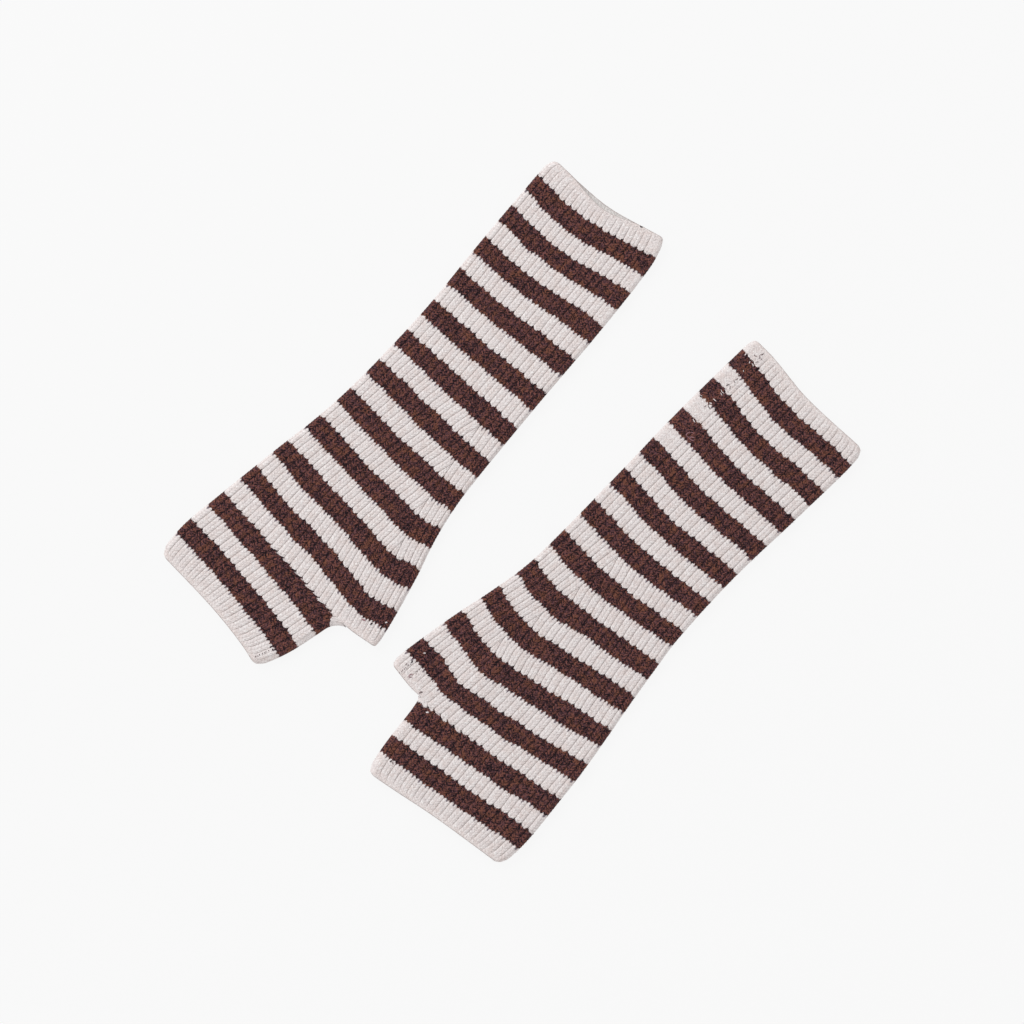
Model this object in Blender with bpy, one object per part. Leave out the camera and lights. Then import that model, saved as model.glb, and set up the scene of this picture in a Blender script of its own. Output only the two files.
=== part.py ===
"""A pair of long wrist warmers in wide knitted ribs, laid flat side by side.

Each warmer is one knitted tube pressed flat: a top layer and an under layer joined by the
rounded fold on its outer side and by the linked seam on its thumb side. It is open at the
arm, at the fingers and at the thumb. Ribs stand on the top and the sides, and the under
layer lies flat on the surface.

Places on a warmer are given by course and share. A course is a knitted row, counted in
stripe repeats from the arm: brown stripe 1 is centred on course 1, brown stripe 13 on
course 13. A share runs across the tube, from 0 at the fold to 1 at the seam.
"""
import math

import bmesh
import bpy

MM = 0.001
COLLECTION_NAME = "pair_of_wrist_warmers"

# The knitted cloth
WALL = 2.0 * MM
RIB_RISE = 0.9 * MM
LAYER_GAP = 0.5 * MM
INNER_RADIUS = LAYER_GAP / 2
OUTER_RADIUS = INNER_RADIUS + WALL
STRIPE_REPEAT = 20.5 * MM
BROWN_HALF = 0.27

# Ribs counted round the raised part of the tube, from under the fold to under the seam
FOLD_SIDE_RIBS = 16
SEAM_SIDE_RIBS = 5
GUSSET_RIBS = 7
GUSSET_START = 6.2
GUSSET_END = 10.2

# The thumb opening ends on the course where brown stripe 12 starts
THUMB_COURSE = 12 - BROWN_HALF
GUSSET_RIBS_TO_FINGERS = 5
THUMB_SPAN = 23.8 * MM
CROTCH_DIP = 1.8 * MM

# Points along the under side, which is plain
UNDER_STEPS = 8
UNDER_STEPS_OF_THUMB = 2

# Rim rows: distance from the rim, inset of the corner, share of the rib height, opening of
# the lips and share of the under layer that peeks out
RIM_ROWS = (
    (0.0 * MM, 2.4 * MM, 0.25, 0.9 * MM, 1.0),
    (1.0 * MM, 1.0 * MM, 0.60, 0.7 * MM, 0.7),
    (3.5 * MM, 0.0 * MM, 1.00, 0.0 * MM, 0.0),
)

# Shares of the width at which a section states its place along the tube
SHARE_MARKS = (0.0, 0.5, 0.82, 1.0)

# Each section: course, across at the fold, across at the seam, then the place along the
# tube at the fold, at mid width, at the knee and at the seam, all in millimetres
RIGHT_TRUNK = (
    (0.24, -36.2, 35.5, 140.2, 138.5, 142.5, 145.2),
    (1.00, -36.3, 37.3, 124.8, 122.8, 127.0, 129.5),
    (3.00, -36.6, 38.3, 83.8, 83.0, 85.6, 86.0),
    (5.00, -36.2, 37.9, 43.0, 42.0, 42.2, 42.2),
    (7.00, -38.3, 38.1, 3.0, 0.2, -1.5, -1.0),
    (8.00, -40.3, 38.8, -17.5, -21.8, -23.0, -22.2),
    (9.00, -43.5, 41.6, -37.5, -43.2, -46.0, -42.5),
    (10.00, -47.9, 46.9, -57.5, -64.0, -68.5, -65.5),
    (11.00, -52.1, 51.3, -77.5, -85.0, -91.0, -89.0),
    (THUMB_COURSE, -55.1, 53.6, -92.6, -100.9, -106.7, -104.5),
)
RIGHT_FINGERS = (
    (THUMB_COURSE, -55.1, 31.8, -92.6, -99.3, -104.8, -107.6),
    (12.00, -56.2, 28.6, -98.2, -105.0, -109.8, -113.7),
    (13.00, -59.9, 21.7, -119.0, -125.0, -130.0, -134.2),
    (13.83, -60.2, 14.2, -137.6, -141.9, -146.6, -150.8),
)
LEFT_TRUNK = (
    (0.26, -40.0, 39.3, 138.2, 136.8, 139.3, 139.2),
    (1.00, -40.7, 39.7, 123.8, 122.0, 125.0, 126.2),
    (3.00, -39.8, 40.2, 84.5, 82.5, 84.0, 84.3),
    (5.00, -38.8, 39.4, 45.0, 41.2, 41.8, 42.0),
    (7.00, -40.6, 38.8, 6.0, -0.5, -2.5, -0.5),
    (8.00, -43.3, 39.4, -14.5, -21.5, -24.5, -22.0),
    (9.00, -46.7, 42.9, -34.5, -43.8, -47.2, -43.8),
    (10.00, -50.4, 47.4, -55.0, -66.0, -69.0, -65.5),
    (11.00, -54.0, 51.4, -75.5, -88.0, -90.8, -89.2),
    (THUMB_COURSE, -55.9, 53.3, -91.5, -102.8, -106.4, -104.3),
)
LEFT_FINGERS = (
    (THUMB_COURSE, -55.9, 30.7, -91.5, -100.5, -105.5, -107.2),
    (12.00, -56.6, 29.2, -97.5, -106.2, -112.2, -114.5),
    (13.00, -58.7, 26.4, -119.5, -127.2, -131.5, -134.0),
    (13.80, -58.6, 22.8, -137.2, -143.6, -148.7, -151.3),
)

# Soft swells of the top layer: course, share, reach in courses, reach in shares, rise
RIGHT_SWELLS = (
    (9.6, 0.80, 2.2, 0.16, 0.7 * MM),
    (5.5, 0.40, 2.6, 0.22, 0.4 * MM),
)
LEFT_SWELLS = (
    (10.1, 0.66, 1.5, 0.12, 0.9 * MM),
    (8.6, 0.84, 1.6, 0.12, 0.5 * MM),
    (3.0, 0.55, 2.4, 0.24, 0.4 * MM),
)

# Each warmer lies with its middle at (x, y), its arm end towards the heading, and its thumb
# to the right (1) or to the left (-1) of that heading; the under layer peeks out by peek
WARMERS = (
    {
        "name": "right_hand_warmer",
        "middle": (-41.9 * MM, 46.5 * MM),
        "heading": math.radians(50.15),
        "thumb_side": 1,
        "trunk": RIGHT_TRUNK,
        "fingers": RIGHT_FINGERS,
        "swells": RIGHT_SWELLS,
        "peek": 1.5 * MM,
    },
    {
        "name": "left_hand_warmer",
        "middle": (50.5 * MM, -39.1 * MM),
        "heading": math.radians(45.0),
        "thumb_side": -1,
        "trunk": LEFT_TRUNK,
        "fingers": LEFT_FINGERS,
        "swells": LEFT_SWELLS,
        "peek": 0.0,
    },
)

CREAM = (0.73, 0.66, 0.65, 1.0)
BROWN = (0.077, 0.033, 0.029, 1.0)
WOOL_ROUGHNESS = 0.92

# Groups of points round a ring, in order: ribs from the fold, gusset ribs, ribs up to the
# seam, the new fold beside the crotch, and the plain under side
FROM_FOLD, GUSSET, TO_SEAM, CROTCH, UNDER, CLOSING = range(6)
CROTCH_TOP = (GUSSET, float(GUSSET_RIBS_TO_FINGERS))
CROTCH_UNDER = (UNDER, float(UNDER_STEPS_OF_THUMB))
CREST = 0.5


def smooth(marks, values, at):
    """Read a smooth curve through (marks, values) at one place."""
    count = len(marks)
    place = 0
    while place < count - 2 and at > marks[place + 1]:
        place += 1

    def slope(index):
        before = max(index - 1, 0)
        after = min(index + 1, count - 1)
        return (values[after] - values[before]) / (marks[after] - marks[before])

    span = marks[place + 1] - marks[place]
    part = (at - marks[place]) / span
    rise = values[place + 1] - values[place]
    start = slope(place) * span
    end = slope(place + 1) * span
    bend = (start + end - 2 * rise) * part + 3 * rise - 2 * start - end
    return values[place] + part * (start + part * bend)


def section_at(table, course):
    """Give the section of a table at any course, in metres."""
    courses = [row[0] for row in table]
    column = [smooth(courses, [row[index] for row in table], course) * MM for index in range(1, 7)]
    return {"fold": column[0], "seam": column[1], "along": column[2:]}


def rim_setting(distance):
    """Read the rim rows at a distance from the rim: inset, rib share, lips and peek."""
    distances = [row[0] for row in RIM_ROWS]
    if distance >= distances[-1]:
        return 0.0, 1.0, 0.0, 0.0
    index = 0
    while distance > distances[index + 1]:
        index += 1
    near, far = RIM_ROWS[index], RIM_ROWS[index + 1]
    part = (distance - near[0]) / (far[0] - near[0])
    return tuple(a + (b - a) * part for a, b in zip(near[1:], far[1:]))


def swell_at(swells, course, share):
    """Add up how far the top layer swells at one place."""
    rise = 0.0
    for centre, across, reach, reach_across, height in swells:
        away = math.hypot((course - centre) / reach, (share - across) / reach_across)
        rise += height * math.exp(-2 * away * away)
    return rise


def gusset_ribs_at(course):
    """Count the gusset ribs that have started by a course."""
    grown = (course - GUSSET_START) / (GUSSET_END - GUSSET_START)
    return round(GUSSET_RIBS * min(max(grown, 0.0), 1.0))


def rib_starts(course, length, crotch_place):
    """List the key and the place of each rib valley along the raised part of a ring."""
    gusset = gusset_ribs_at(course)
    keys = [(FROM_FOLD, float(index)) for index in range(FOLD_SIDE_RIBS)]
    keys += [(GUSSET, float(index)) for index in range(gusset)]
    keys += [(TO_SEAM, float(index)) for index in range(SEAM_SIDE_RIBS)]
    if gusset < GUSSET_RIBS:
        return [(key, length * index / len(keys)) for index, key in enumerate(keys)]
    split = keys.index(CROTCH_TOP)
    before = [crotch_place * index / split for index in range(split)]
    step = (length - crotch_place) / (len(keys) - split)
    after = [crotch_place + step * index for index in range(len(keys) - split)]
    return list(zip(keys, before + after))


def finger_rib_starts(crotch_place):
    """List the rib valleys of a ring of the finger part, as far as its seam side."""
    keys = [(FROM_FOLD, float(index)) for index in range(FOLD_SIDE_RIBS)]
    keys += [(GUSSET, float(index)) for index in range(GUSSET_RIBS_TO_FINGERS + 1)]
    return [(key, crotch_place * index / (len(keys) - 1)) for index, key in enumerate(keys)]


def with_crests(starts, end):
    """Put a crest between each two valleys: a list of key, place and share of the rise."""
    marks = []
    ends = [place for _, place in starts[1:]] + [end]
    for (key, place), following in zip(starts, ends):
        marks.append((key, place, 0.0))
        if following > place:
            marks.append(((key[0], key[1] + CREST), (place + following) / 2, 1.0))
    return marks


def on_flattened_tube(place, left, right, radius):
    """Turn a place along the raised outside into across, height and the outward direction."""
    quarter = math.pi / 2
    side = math.pi * OUTER_RADIUS
    flat = right - left - 2 * OUTER_RADIUS
    if place < side:
        angle = place / OUTER_RADIUS - quarter
        across = left + OUTER_RADIUS - radius * math.cos(angle)
        return across, OUTER_RADIUS + radius * math.sin(angle), (-math.cos(angle), math.sin(angle))
    if place <= side + flat:
        return left + OUTER_RADIUS + place - side, OUTER_RADIUS + radius, (0.0, 1.0)
    angle = quarter - (place - side - flat) / OUTER_RADIUS
    across = right - OUTER_RADIUS + radius * math.cos(angle)
    return across, OUTER_RADIUS + radius * math.sin(angle), (math.cos(angle), math.sin(angle))


class Row:
    """One row of the tube: its section, its distance from the rims and its place."""

    def __init__(self, warmer, course, in_fingers):
        table = warmer["fingers"] if in_fingers else warmer["trunk"]
        self.warmer = warmer
        self.course = course
        self.in_fingers = in_fingers
        self.section = section_at(table, course)
        arm_distance = (course - warmer["trunk"][0][0]) * STRIPE_REPEAT
        finger_distance = (warmer["fingers"][-1][0] - course) * STRIPE_REPEAT
        self.thumb_distance = (THUMB_COURSE - course) * STRIPE_REPEAT
        self.inset, self.ribs, self.lips, _ = rim_setting(min(arm_distance, finger_distance))
        self.peek = warmer["peek"] * rim_setting(arm_distance)[3]
        self.seam_inset, self.thumb_ribs, self.thumb_lips = self.inset, self.ribs, self.lips
        if not in_fingers and self.thumb_distance < RIM_ROWS[-1][0]:
            self.seam_inset, self.thumb_ribs, self.thumb_lips, _ = rim_setting(self.thumb_distance)
        self.left = self.section["fold"] + self.inset
        self.right = self.section["seam"] - self.seam_inset
        self.length = 2 * math.pi * OUTER_RADIUS + self.right - self.left - 2 * OUTER_RADIUS
        self.crotch_across = self.section["seam"] - THUMB_SPAN
        if in_fingers:
            self.crotch_across = self.right - OUTER_RADIUS
        self.crotch_place = math.pi * OUTER_RADIUS + self.crotch_across - self.left - OUTER_RADIUS

    def share(self, across):
        return (across - self.section["fold"]) / (self.section["seam"] - self.section["fold"])

    def along(self, across):
        share = min(max(self.share(across), 0.0), 1.0)
        return smooth(SHARE_MARKS, self.section["along"], share)

    def top_mark(self, place, rise, radius):
        """Give one point of the raised outside, or of the inside when the radius is small."""
        across, height, outward = on_flattened_tube(place, self.left, self.right, radius)
        on_thumb = not self.in_fingers and place > self.crotch_place
        ribs, lips = (self.thumb_ribs, self.thumb_lips) if on_thumb else (self.ribs, self.lips)
        along = self.along(across)
        share = self.share(across)
        swell = swell_at(self.warmer["swells"], self.course, share)
        lift = (lips + swell) * max(outward[1], 0.0) ** 2
        stand = rise * RIB_RISE * ribs * min(max(1 + 2 * outward[1], 0.0), 1.0)
        return across + stand * outward[0], along, height + lift + stand * outward[1]

    def under_mark(self, step, height):
        """Give one point of the plain under side, counted from the seam."""
        start = self.right - OUTER_RADIUS
        end = self.left + OUTER_RADIUS
        split = UNDER_STEPS_OF_THUMB
        if self.in_fingers:
            across = start + (end - start) * (step - split) / (UNDER_STEPS - split)
        elif gusset_ribs_at(self.course) < GUSSET_RIBS:
            across = start + (end - start) * step / UNDER_STEPS
        elif step <= split:
            across = start + (self.crotch_across - start) * step / split
        else:
            part = (step - split) / (UNDER_STEPS - split)
            across = self.crotch_across + (end - self.crotch_across) * part
        share = min(max(self.share(across), 0.0), 1.0)
        peek = self.peek * math.sin(math.pi * share) ** 2
        return across, self.along(across) + peek, height

    def crotch_mark(self, part, rise, radius, dip):
        """Give one point of the fold that starts at the crotch, from its top to its under side."""
        angle = math.pi * (0.5 - part)
        outward = (math.cos(angle), math.sin(angle))
        stand = rise * RIB_RISE * self.ribs * min(max(1 + 2 * outward[1], 0.0), 1.0)
        across = self.crotch_across + (radius + stand) * outward[0]
        along = self.along(min(across, self.section["seam"])) - dip * outward[0]
        lift = self.lips * max(outward[1], 0.0) ** 2
        return across, along, OUTER_RADIUS + (radius + stand) * outward[1] + lift


def to_world(warmer, point):
    """Lay a point of a warmer (across, along, height) on the surface."""
    across, along, height = point
    turn = warmer["heading"]
    across *= warmer["thumb_side"]
    x = warmer["middle"][0] + along * math.cos(turn) + across * math.sin(turn)
    y = warmer["middle"][1] + along * math.sin(turn) - across * math.cos(turn)
    return x, y, height


def path_of(mesh, warmer, marks):
    """Make the vertices of a path of keyed points."""
    return [(key, mesh.verts.new(to_world(warmer, point))) for key, point in marks]


def ring_marks(row, outside):
    """List the keyed points of a whole ring, ribbed outside or plain inside."""
    radius = OUTER_RADIUS if outside else INNER_RADIUS
    if row.in_fingers:
        starts, end = finger_rib_starts(row.crotch_place), row.crotch_place
    else:
        starts, end = rib_starts(row.course, row.length, row.crotch_place), row.length
    marks = with_crests(starts, end) if outside else [(key, place, 0.0) for key, place in starts]
    points = [(key, row.top_mark(place, rise, radius)) for key, place, rise in marks]
    first_step = 0
    if row.in_fingers:
        points += crotch_marks(row, outside, 0.0)
        first_step = UNDER_STEPS_OF_THUMB
    height = OUTER_RADIUS - radius
    for step in range(first_step, UNDER_STEPS):
        points.append(((UNDER, float(step)), row.under_mark(step, height)))
    return points


def crotch_marks(row, outside, dip):
    """List the keyed points of the fold beside the crotch, without its two ends."""
    radius = OUTER_RADIUS if outside else INNER_RADIUS
    parts = (0.25, 0.5, 0.75) if outside else (0.5,)
    flat = dip > 0
    return [
        ((CROTCH, part), row.crotch_mark(part, 0.0 if flat or part == CREST else 1.0, radius, dip))
        for part in parts
    ]


def strip(mesh, first, second, is_brown=False):
    """Fill the band between two keyed paths that start and end on the same keys."""
    one = two = 0
    while one < len(first) - 1 or two < len(second) - 1:
        step_one = two == len(second) - 1 or (
            one < len(first) - 1 and first[one + 1][0] <= second[two + 1][0]
        )
        step_two = one == len(first) - 1 or (
            two < len(second) - 1 and second[two + 1][0] <= first[one + 1][0]
        )
        corners = [first[one][1]]
        if step_one:
            corners.append(first[one + 1][1])
        if step_two:
            corners.append(second[two + 1][1])
        corners.append(second[two][1])
        face = mesh.faces.new(corners)
        face.material_index = 1 if is_brown else 0
        one += step_one
        two += step_two


def closed(path):
    """Lead a ring's path back to its first point."""
    return path + [((CLOSING, 0.0), path[0][1])]


def split_ring(ring, crotch):
    """Split a ring at the crotch into the ring of the fingers and the path of the thumb."""
    before = [item for item in ring if item[0] <= CROTCH_TOP]
    thumb = [item for item in ring if CROTCH_TOP <= item[0] <= CROTCH_UNDER]
    after = [item for item in ring if item[0] >= CROTCH_UNDER]
    return before + crotch + after, thumb


def arm_courses(warmer):
    """List the courses of the rows from the arm opening to the thumb opening."""
    start = warmer["trunk"][0][0]
    courses = [start + row[0] / STRIPE_REPEAT for row in RIM_ROWS]
    for stripe in range(1, 12):
        courses += [stripe - BROWN_HALF, stripe + BROWN_HALF]
    courses += [THUMB_COURSE - row[0] / STRIPE_REPEAT for row in reversed(RIM_ROWS)]
    return courses


def finger_courses(warmer):
    """List the courses of the rows below the crotch, down to the finger opening."""
    end = warmer["fingers"][-1][0]
    courses = [12 + BROWN_HALF, 13 - BROWN_HALF, 13 + BROWN_HALF]
    return courses + [end - row[0] / STRIPE_REPEAT for row in reversed(RIM_ROWS)]


def is_brown_band(first, second):
    """Tell whether the band between two courses lies on a brown stripe."""
    middle = (first + second) / 2
    return abs(middle - round(middle)) < BROWN_HALF and 1 <= round(middle) <= 13


def inside_rows(rows):
    """Keep the first row, the last row and every other row between for the plain inside."""
    return rows[:-1:2] + rows[-1:]


def build_surface(mesh, warmer, trunk_rows, finger_rows, outside):
    """Build the ribbed outside or the plain inside, and return its open edges."""
    rings = [path_of(mesh, warmer, ring_marks(row, outside)) for row in trunk_rows]
    for index in range(len(rings) - 1):
        brown = is_brown_band(trunk_rows[index].course, trunk_rows[index + 1].course)
        strip(mesh, closed(rings[index]), closed(rings[index + 1]), brown and outside)
    last = trunk_rows[-1]
    crotch = path_of(mesh, warmer, crotch_marks(last, outside, CROTCH_DIP))
    finger_ring, thumb_path = split_ring(rings[-1], crotch)
    course = last.course
    for row in finger_rows:
        next_ring = path_of(mesh, warmer, ring_marks(row, outside))
        brown = is_brown_band(course, row.course)
        strip(mesh, closed(finger_ring), closed(next_ring), brown and outside)
        finger_ring, course = next_ring, row.course
    return {
        "arm": closed(rings[0]),
        "fingers": closed(finger_ring),
        "thumb": thumb_path,
        "crotch": thumb_path[:1] + crotch + thumb_path[-1:],
    }


def wool(name, colour):
    """Make the plain wool material of one yarn."""
    material = bpy.data.materials.new(name)
    material.use_nodes = True
    shader = material.node_tree.nodes["Principled BSDF"]
    shader.inputs["Base Color"].default_value = colour
    shader.inputs["Roughness"].default_value = WOOL_ROUGHNESS
    shader.inputs["Metallic"].default_value = 0.0
    material.diffuse_color = colour
    return material


def build_warmer(warmer, collection):
    """Build one warmer as a closed wall and link it to the collection."""
    trunk_rows = [Row(warmer, course, False) for course in arm_courses(warmer)]
    finger_rows = [Row(warmer, course, True) for course in finger_courses(warmer)]
    mesh = bmesh.new()
    outer = build_surface(mesh, warmer, trunk_rows, finger_rows, True)
    inner = build_surface(mesh, warmer, inside_rows(trunk_rows), inside_rows(finger_rows), False)
    for edge in ("arm", "fingers", "thumb", "crotch"):
        strip(mesh, outer[edge], inner[edge])
    bmesh.ops.recalc_face_normals(mesh, faces=mesh.faces)
    data = bpy.data.meshes.new(warmer["name"])
    mesh.to_mesh(data)
    mesh.free()
    data.shade_smooth()
    data.materials.append(wool(warmer["name"] + "_cream", CREAM))
    data.materials.append(wool(warmer["name"] + "_brown", BROWN))
    collection.objects.link(bpy.data.objects.new(warmer["name"], data))


def main():
    for item in list(bpy.data.objects):
        bpy.data.objects.remove(item, do_unlink=True)
    collection = bpy.data.collections.new(COLLECTION_NAME)
    bpy.context.scene.collection.children.link(collection)
    for warmer in WARMERS:
        build_warmer(warmer, collection)


main()
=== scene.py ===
"""Looks of a pair of long knitted wrist warmers that lie flat side by side.

Each warmer is knitted again here as one closed shell on the form of its solid, with real ribs,
single stitches, gusset ribs that start one after another, flattened bound-off edges and soft
swells. Its yarn, stripes and stitches are drawn by the wool material from rib and course numbers
that every face corner carries.

Places on a warmer are given as in the CAD source: a course is counted in stripe repeats from
the arm (brown stripe k lies on course k), and a share runs across from the fold to the seam.
"""
import math

import bpy
import numpy as np
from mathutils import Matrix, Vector
from mathutils.bvhtree import BVHTree

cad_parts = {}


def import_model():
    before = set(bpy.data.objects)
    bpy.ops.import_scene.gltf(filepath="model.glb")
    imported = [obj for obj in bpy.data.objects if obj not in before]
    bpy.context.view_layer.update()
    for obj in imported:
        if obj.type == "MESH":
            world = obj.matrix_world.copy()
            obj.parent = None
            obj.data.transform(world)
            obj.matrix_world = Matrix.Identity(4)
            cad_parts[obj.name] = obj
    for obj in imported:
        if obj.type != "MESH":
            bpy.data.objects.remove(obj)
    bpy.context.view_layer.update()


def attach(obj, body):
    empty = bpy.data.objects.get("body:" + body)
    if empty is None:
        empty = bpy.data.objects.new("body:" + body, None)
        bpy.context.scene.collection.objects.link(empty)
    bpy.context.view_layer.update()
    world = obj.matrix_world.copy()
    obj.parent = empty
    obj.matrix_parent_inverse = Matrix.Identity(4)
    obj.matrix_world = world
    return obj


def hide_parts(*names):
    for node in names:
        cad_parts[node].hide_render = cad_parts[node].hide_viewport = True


MM = 0.001

# The knitted cloth, in millimetres, as in the CAD source
WALL = 2.0
RIB_RISE = 0.9
INNER_RADIUS = 0.25
OUTER_RADIUS = 2.25
REPEAT = 20.5
BROWN_HALF = 0.27
THUMB_COURSE = 12 - BROWN_HALF
CROTCH_DIP = 0.5
CROTCH_BLEND = 8.0

# Ribs round the raised part of the tube
BODY_RIBS = 21
GUSSET_STARTS = (6.2, 6.8, 7.3, 7.8, 8.3, 8.8, 9.3)
GUSSET_RIBS = len(GUSSET_STARTS)
GUSSET_GROWTH = 0.55
RIBS_TO_CROTCH = 21
# From this course to the thumb opening one rib valley moves to the crotch, and steadies there
THUMB_START, CROTCH_STEADY = 9, 2
# From this course on, within this reach, the columns of the underside move to the crotch as well
UNDER_START, UNDER_REACH = 8, 3
# From this course on, within this reach, the ribs on the seam side get narrower
SQUEEZE_START, SQUEEZE_REACH = 6.5, 3
# Random changes of the rib valleys, rib heights and stitches: size, and knots along a rib
VALLEY_SPREAD, GAIN_SPREAD, STITCH_SPREAD = 0.10, 0.09, 0.10
VALLEY_KNOTS, KNOTS = 22, 16

# Points of one rib across its width: phase and share of the rise
RIB_PHASES = np.array((0.0, 0.10, 0.26, 0.42, 0.5, 0.58, 0.74, 0.90))
RIB_PROFILE = np.array((0.0, 0.66, 1.0, 0.96, 0.66, 0.96, 1.0, 0.66))
# Height of a rib valley, and the share of it that is left at a rim
RIB_BASE = 0.42
RIM_BASE = 0.4
# Beside the linked seam: profile of a plain rib, how plain the ribs are, and courses of fading
PLAIN_RIB = 0.8
PLAIN_SHARE, PLAIN_FADE = 0.85, 1.5
# The side fold at the crotch rises this much and is drawn like this many ribs
FOLD_RISE = 0.405
FOLD_RIBS = 1.7
# How strongly the wool material draws the ribs and their painted valley shade inside, on that fold and on
# its first row
INSIDE_DEPTH = 0.6
SEAM_FOLD_DEPTH = 0.25
FIRST_FOLD_DEPTH = 0.3
# The ribs stand lower on the sides: their share there, and its growth towards the top
SIDE_STAND, SIDE_SLOPE = 0.30, 1.4
STITCHES_A_REPEAT = 12
ROWS_A_REPEAT = 3 * STITCHES_A_REPEAT
STITCH_RISE = 0.11
YARN_ROUGHNESS = 0.035
# Columns of the underside, those of them under the thumb, and the ribs that are drawn on it
UNDER_COLUMNS = 10
UNDER_COLUMNS_OF_THUMB = 3
UNDER_RIB = 4.1
CROTCH_PARTS = np.linspace(0, 1, 10)[1:-1]
# The inside has one row for each of these outside rows, but none just before the finger edge
INNER_ROW_STEP = 9
INNER_ROWS_END = -4

# Rim rows: distance from the rim, inset of the corner, share of the rib height, rise of the top
# layer and share of the warmer's peek, by which the top layer draws back
RIM_ROWS = np.array(
    (
        (0.0, 2.8, 0.05, 0.9, 1.0),
        (1.0, 1.4, 0.20, 0.7, 0.9),
        (3.5, 0.4, 0.80, 0.0, 0.6),
        (5.0, 0.1, 1.00, 0.0, 0.4),
        (9.0, 0.0, 1.00, 0.0, 0.0),
    )
)
# Share of that inset on the seam side of the arm opening
ARM_SEAM_CORNER = 0.45
# At a crotch no rim counts as nearer than this, so that the rim colours leave it out
RIM_END = 4.5
# Shares across the tube between which the top layer draws back
PEEK_START, PEEK_END = 0.16, 0.84
# The wall rounds off within this distance of a rim, by rows at these distances, to this share
RIM_ROUNDING = 0.9
EXTRA_RIM_ROWS = (0.12, 0.3)
THINNEST_RIM = 0.45

SHARE_MARKS = np.array((0.0, 0.5, 0.82, 1.0))

# Sections as in the CAD source: course, across at the fold, across at the seam, then the
# place along the tube at the fold, at mid width, at the knee and at the seam
RIGHT_TRUNK = (
    (0.24, -36.0, 33.9, 140.2, 139.0, 142.7, 145.3),
    (1.00, -36.3, 37.0, 124.8, 122.8, 127.0, 129.5),
    (3.00, -36.6, 38.3, 83.8, 83.0, 85.6, 86.0),
    (5.00, -36.2, 37.9, 43.0, 42.0, 42.2, 42.2),
    (7.00, -38.3, 38.1, 3.0, 0.2, -1.5, -1.0),
    (8.00, -40.3, 38.8, -17.5, -21.8, -23.0, -22.2),
    (9.00, -43.5, 41.6, -37.5, -43.2, -46.0, -42.5),
    (10.00, -47.9, 46.9, -57.5, -64.0, -68.5, -65.5),
    (11.00, -52.1, 51.3, -77.5, -85.0, -91.0, -89.0),
    (THUMB_COURSE, -55.1, 53.6, -92.6, -100.9, -105.8, -104.5),
)
RIGHT_FINGERS = (
    (THUMB_COURSE, -55.1, 30.2, -92.6, -99.3, -104.6, -107.4),
    (12.00, -56.2, 28.5, -98.2, -105.0, -109.8, -113.7),
    (13.00, -59.9, 22.1, -119.0, -125.0, -130.0, -134.2),
    (13.83, -60.0, 14.2, -137.2, -141.6, -146.4, -150.8),
)
LEFT_TRUNK = (
    (0.26, -40.0, 39.3, 138.1, 136.5, 138.9, 139.0),
    (1.00, -40.7, 39.7, 123.8, 122.0, 125.0, 126.2),
    (3.00, -39.8, 40.2, 84.5, 82.5, 84.0, 84.3),
    (5.00, -38.8, 39.4, 45.0, 41.2, 41.8, 42.0),
    (7.00, -40.6, 38.8, 6.0, -0.5, -2.5, -0.5),
    (8.00, -43.3, 39.4, -14.5, -21.5, -24.5, -22.0),
    (9.00, -46.7, 42.9, -34.5, -43.8, -47.2, -43.8),
    (10.00, -50.4, 47.4, -55.0, -66.0, -69.0, -65.5),
    (11.00, -54.0, 51.4, -75.5, -88.0, -90.8, -89.2),
    (THUMB_COURSE, -55.9, 53.3, -91.5, -102.6, -105.9, -104.2),
)
LEFT_FINGERS = (
    (THUMB_COURSE, -55.9, 30.7, -91.5, -100.5, -105.5, -107.2),
    (12.00, -56.6, 29.2, -97.5, -106.2, -112.2, -114.5),
    (13.00, -58.7, 26.8, -119.5, -127.2, -131.5, -134.0),
    (13.80, -58.2, 23.6, -136.9, -143.2, -148.5, -151.2),
)

# A pull fades out within this distance of a rim
PULL_FADE = 7.0
# Where the knit is pulled along the tube, away from its sections: course, share, reach in
# courses, reach in shares, and the pull towards the arm, in millimetres
RIGHT_PULLS = (
    (1.0, 0.24, 1.7, 0.32, -1.5),
    (2.8, 0.22, 1.0, 0.22, -0.6),
    (3.7, 0.62, 1.3, 0.24, 0.6),
    (4.0, 1.00, 0.6, 0.14, 0.7),
    (6.3, 1.00, 1.2, 0.30, -0.8),
    (6.7, 0.45, 1.3, 0.26, -0.4),
    (8.8, 0.65, 1.1, 0.18, 0.9),
    (9.0, 1.00, 0.8, 0.16, -0.7),
    (10.7, 0.26, 1.2, 0.26, -1.4),
    (11.0, 0.85, 0.5, 0.08, -1.1),
    (13.0, 0.25, 0.9, 0.30, 0.4),
)
LEFT_PULLS = (
    (1.3, 0.20, 1.6, 0.22, 1.1),
    (1.3, 0.66, 1.6, 0.18, -0.7),
    (4.0, 0.15, 1.0, 0.24, 0.6),
    (4.6, 0.64, 1.2, 0.22, -0.8),
    (6.6, 0.35, 1.3, 0.30, -0.5),
    (6.6, 0.85, 0.9, 0.12, 0.6),
    (8.7, 0.65, 1.2, 0.14, -1.5),
    (10.4, 0.69, 1.1, 0.12, -1.7),
    (9.7, 0.30, 1.0, 0.14, 0.5),
    (10.0, 0.00, 0.9, 0.10, 0.7),
    (10.8, 0.87, 1.1, 0.09, 1.5),
    (10.9, 0.73, 0.5, 0.06, -1.2),
    (12.2, 0.36, 0.6, 0.24, -0.9),
    (13.0, 0.15, 0.7, 0.18, 0.8),
)
# Beside a crotch stripe 12 starts later, but a row before this course is not held back
CROTCH_HOLD = 11.5
# Round a crotch the wool material draws the ribs and their painted valley shade this much weaker, within
# this reach
CROTCH_CALM = 0.55
CALM_REACH = 7.0

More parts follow.
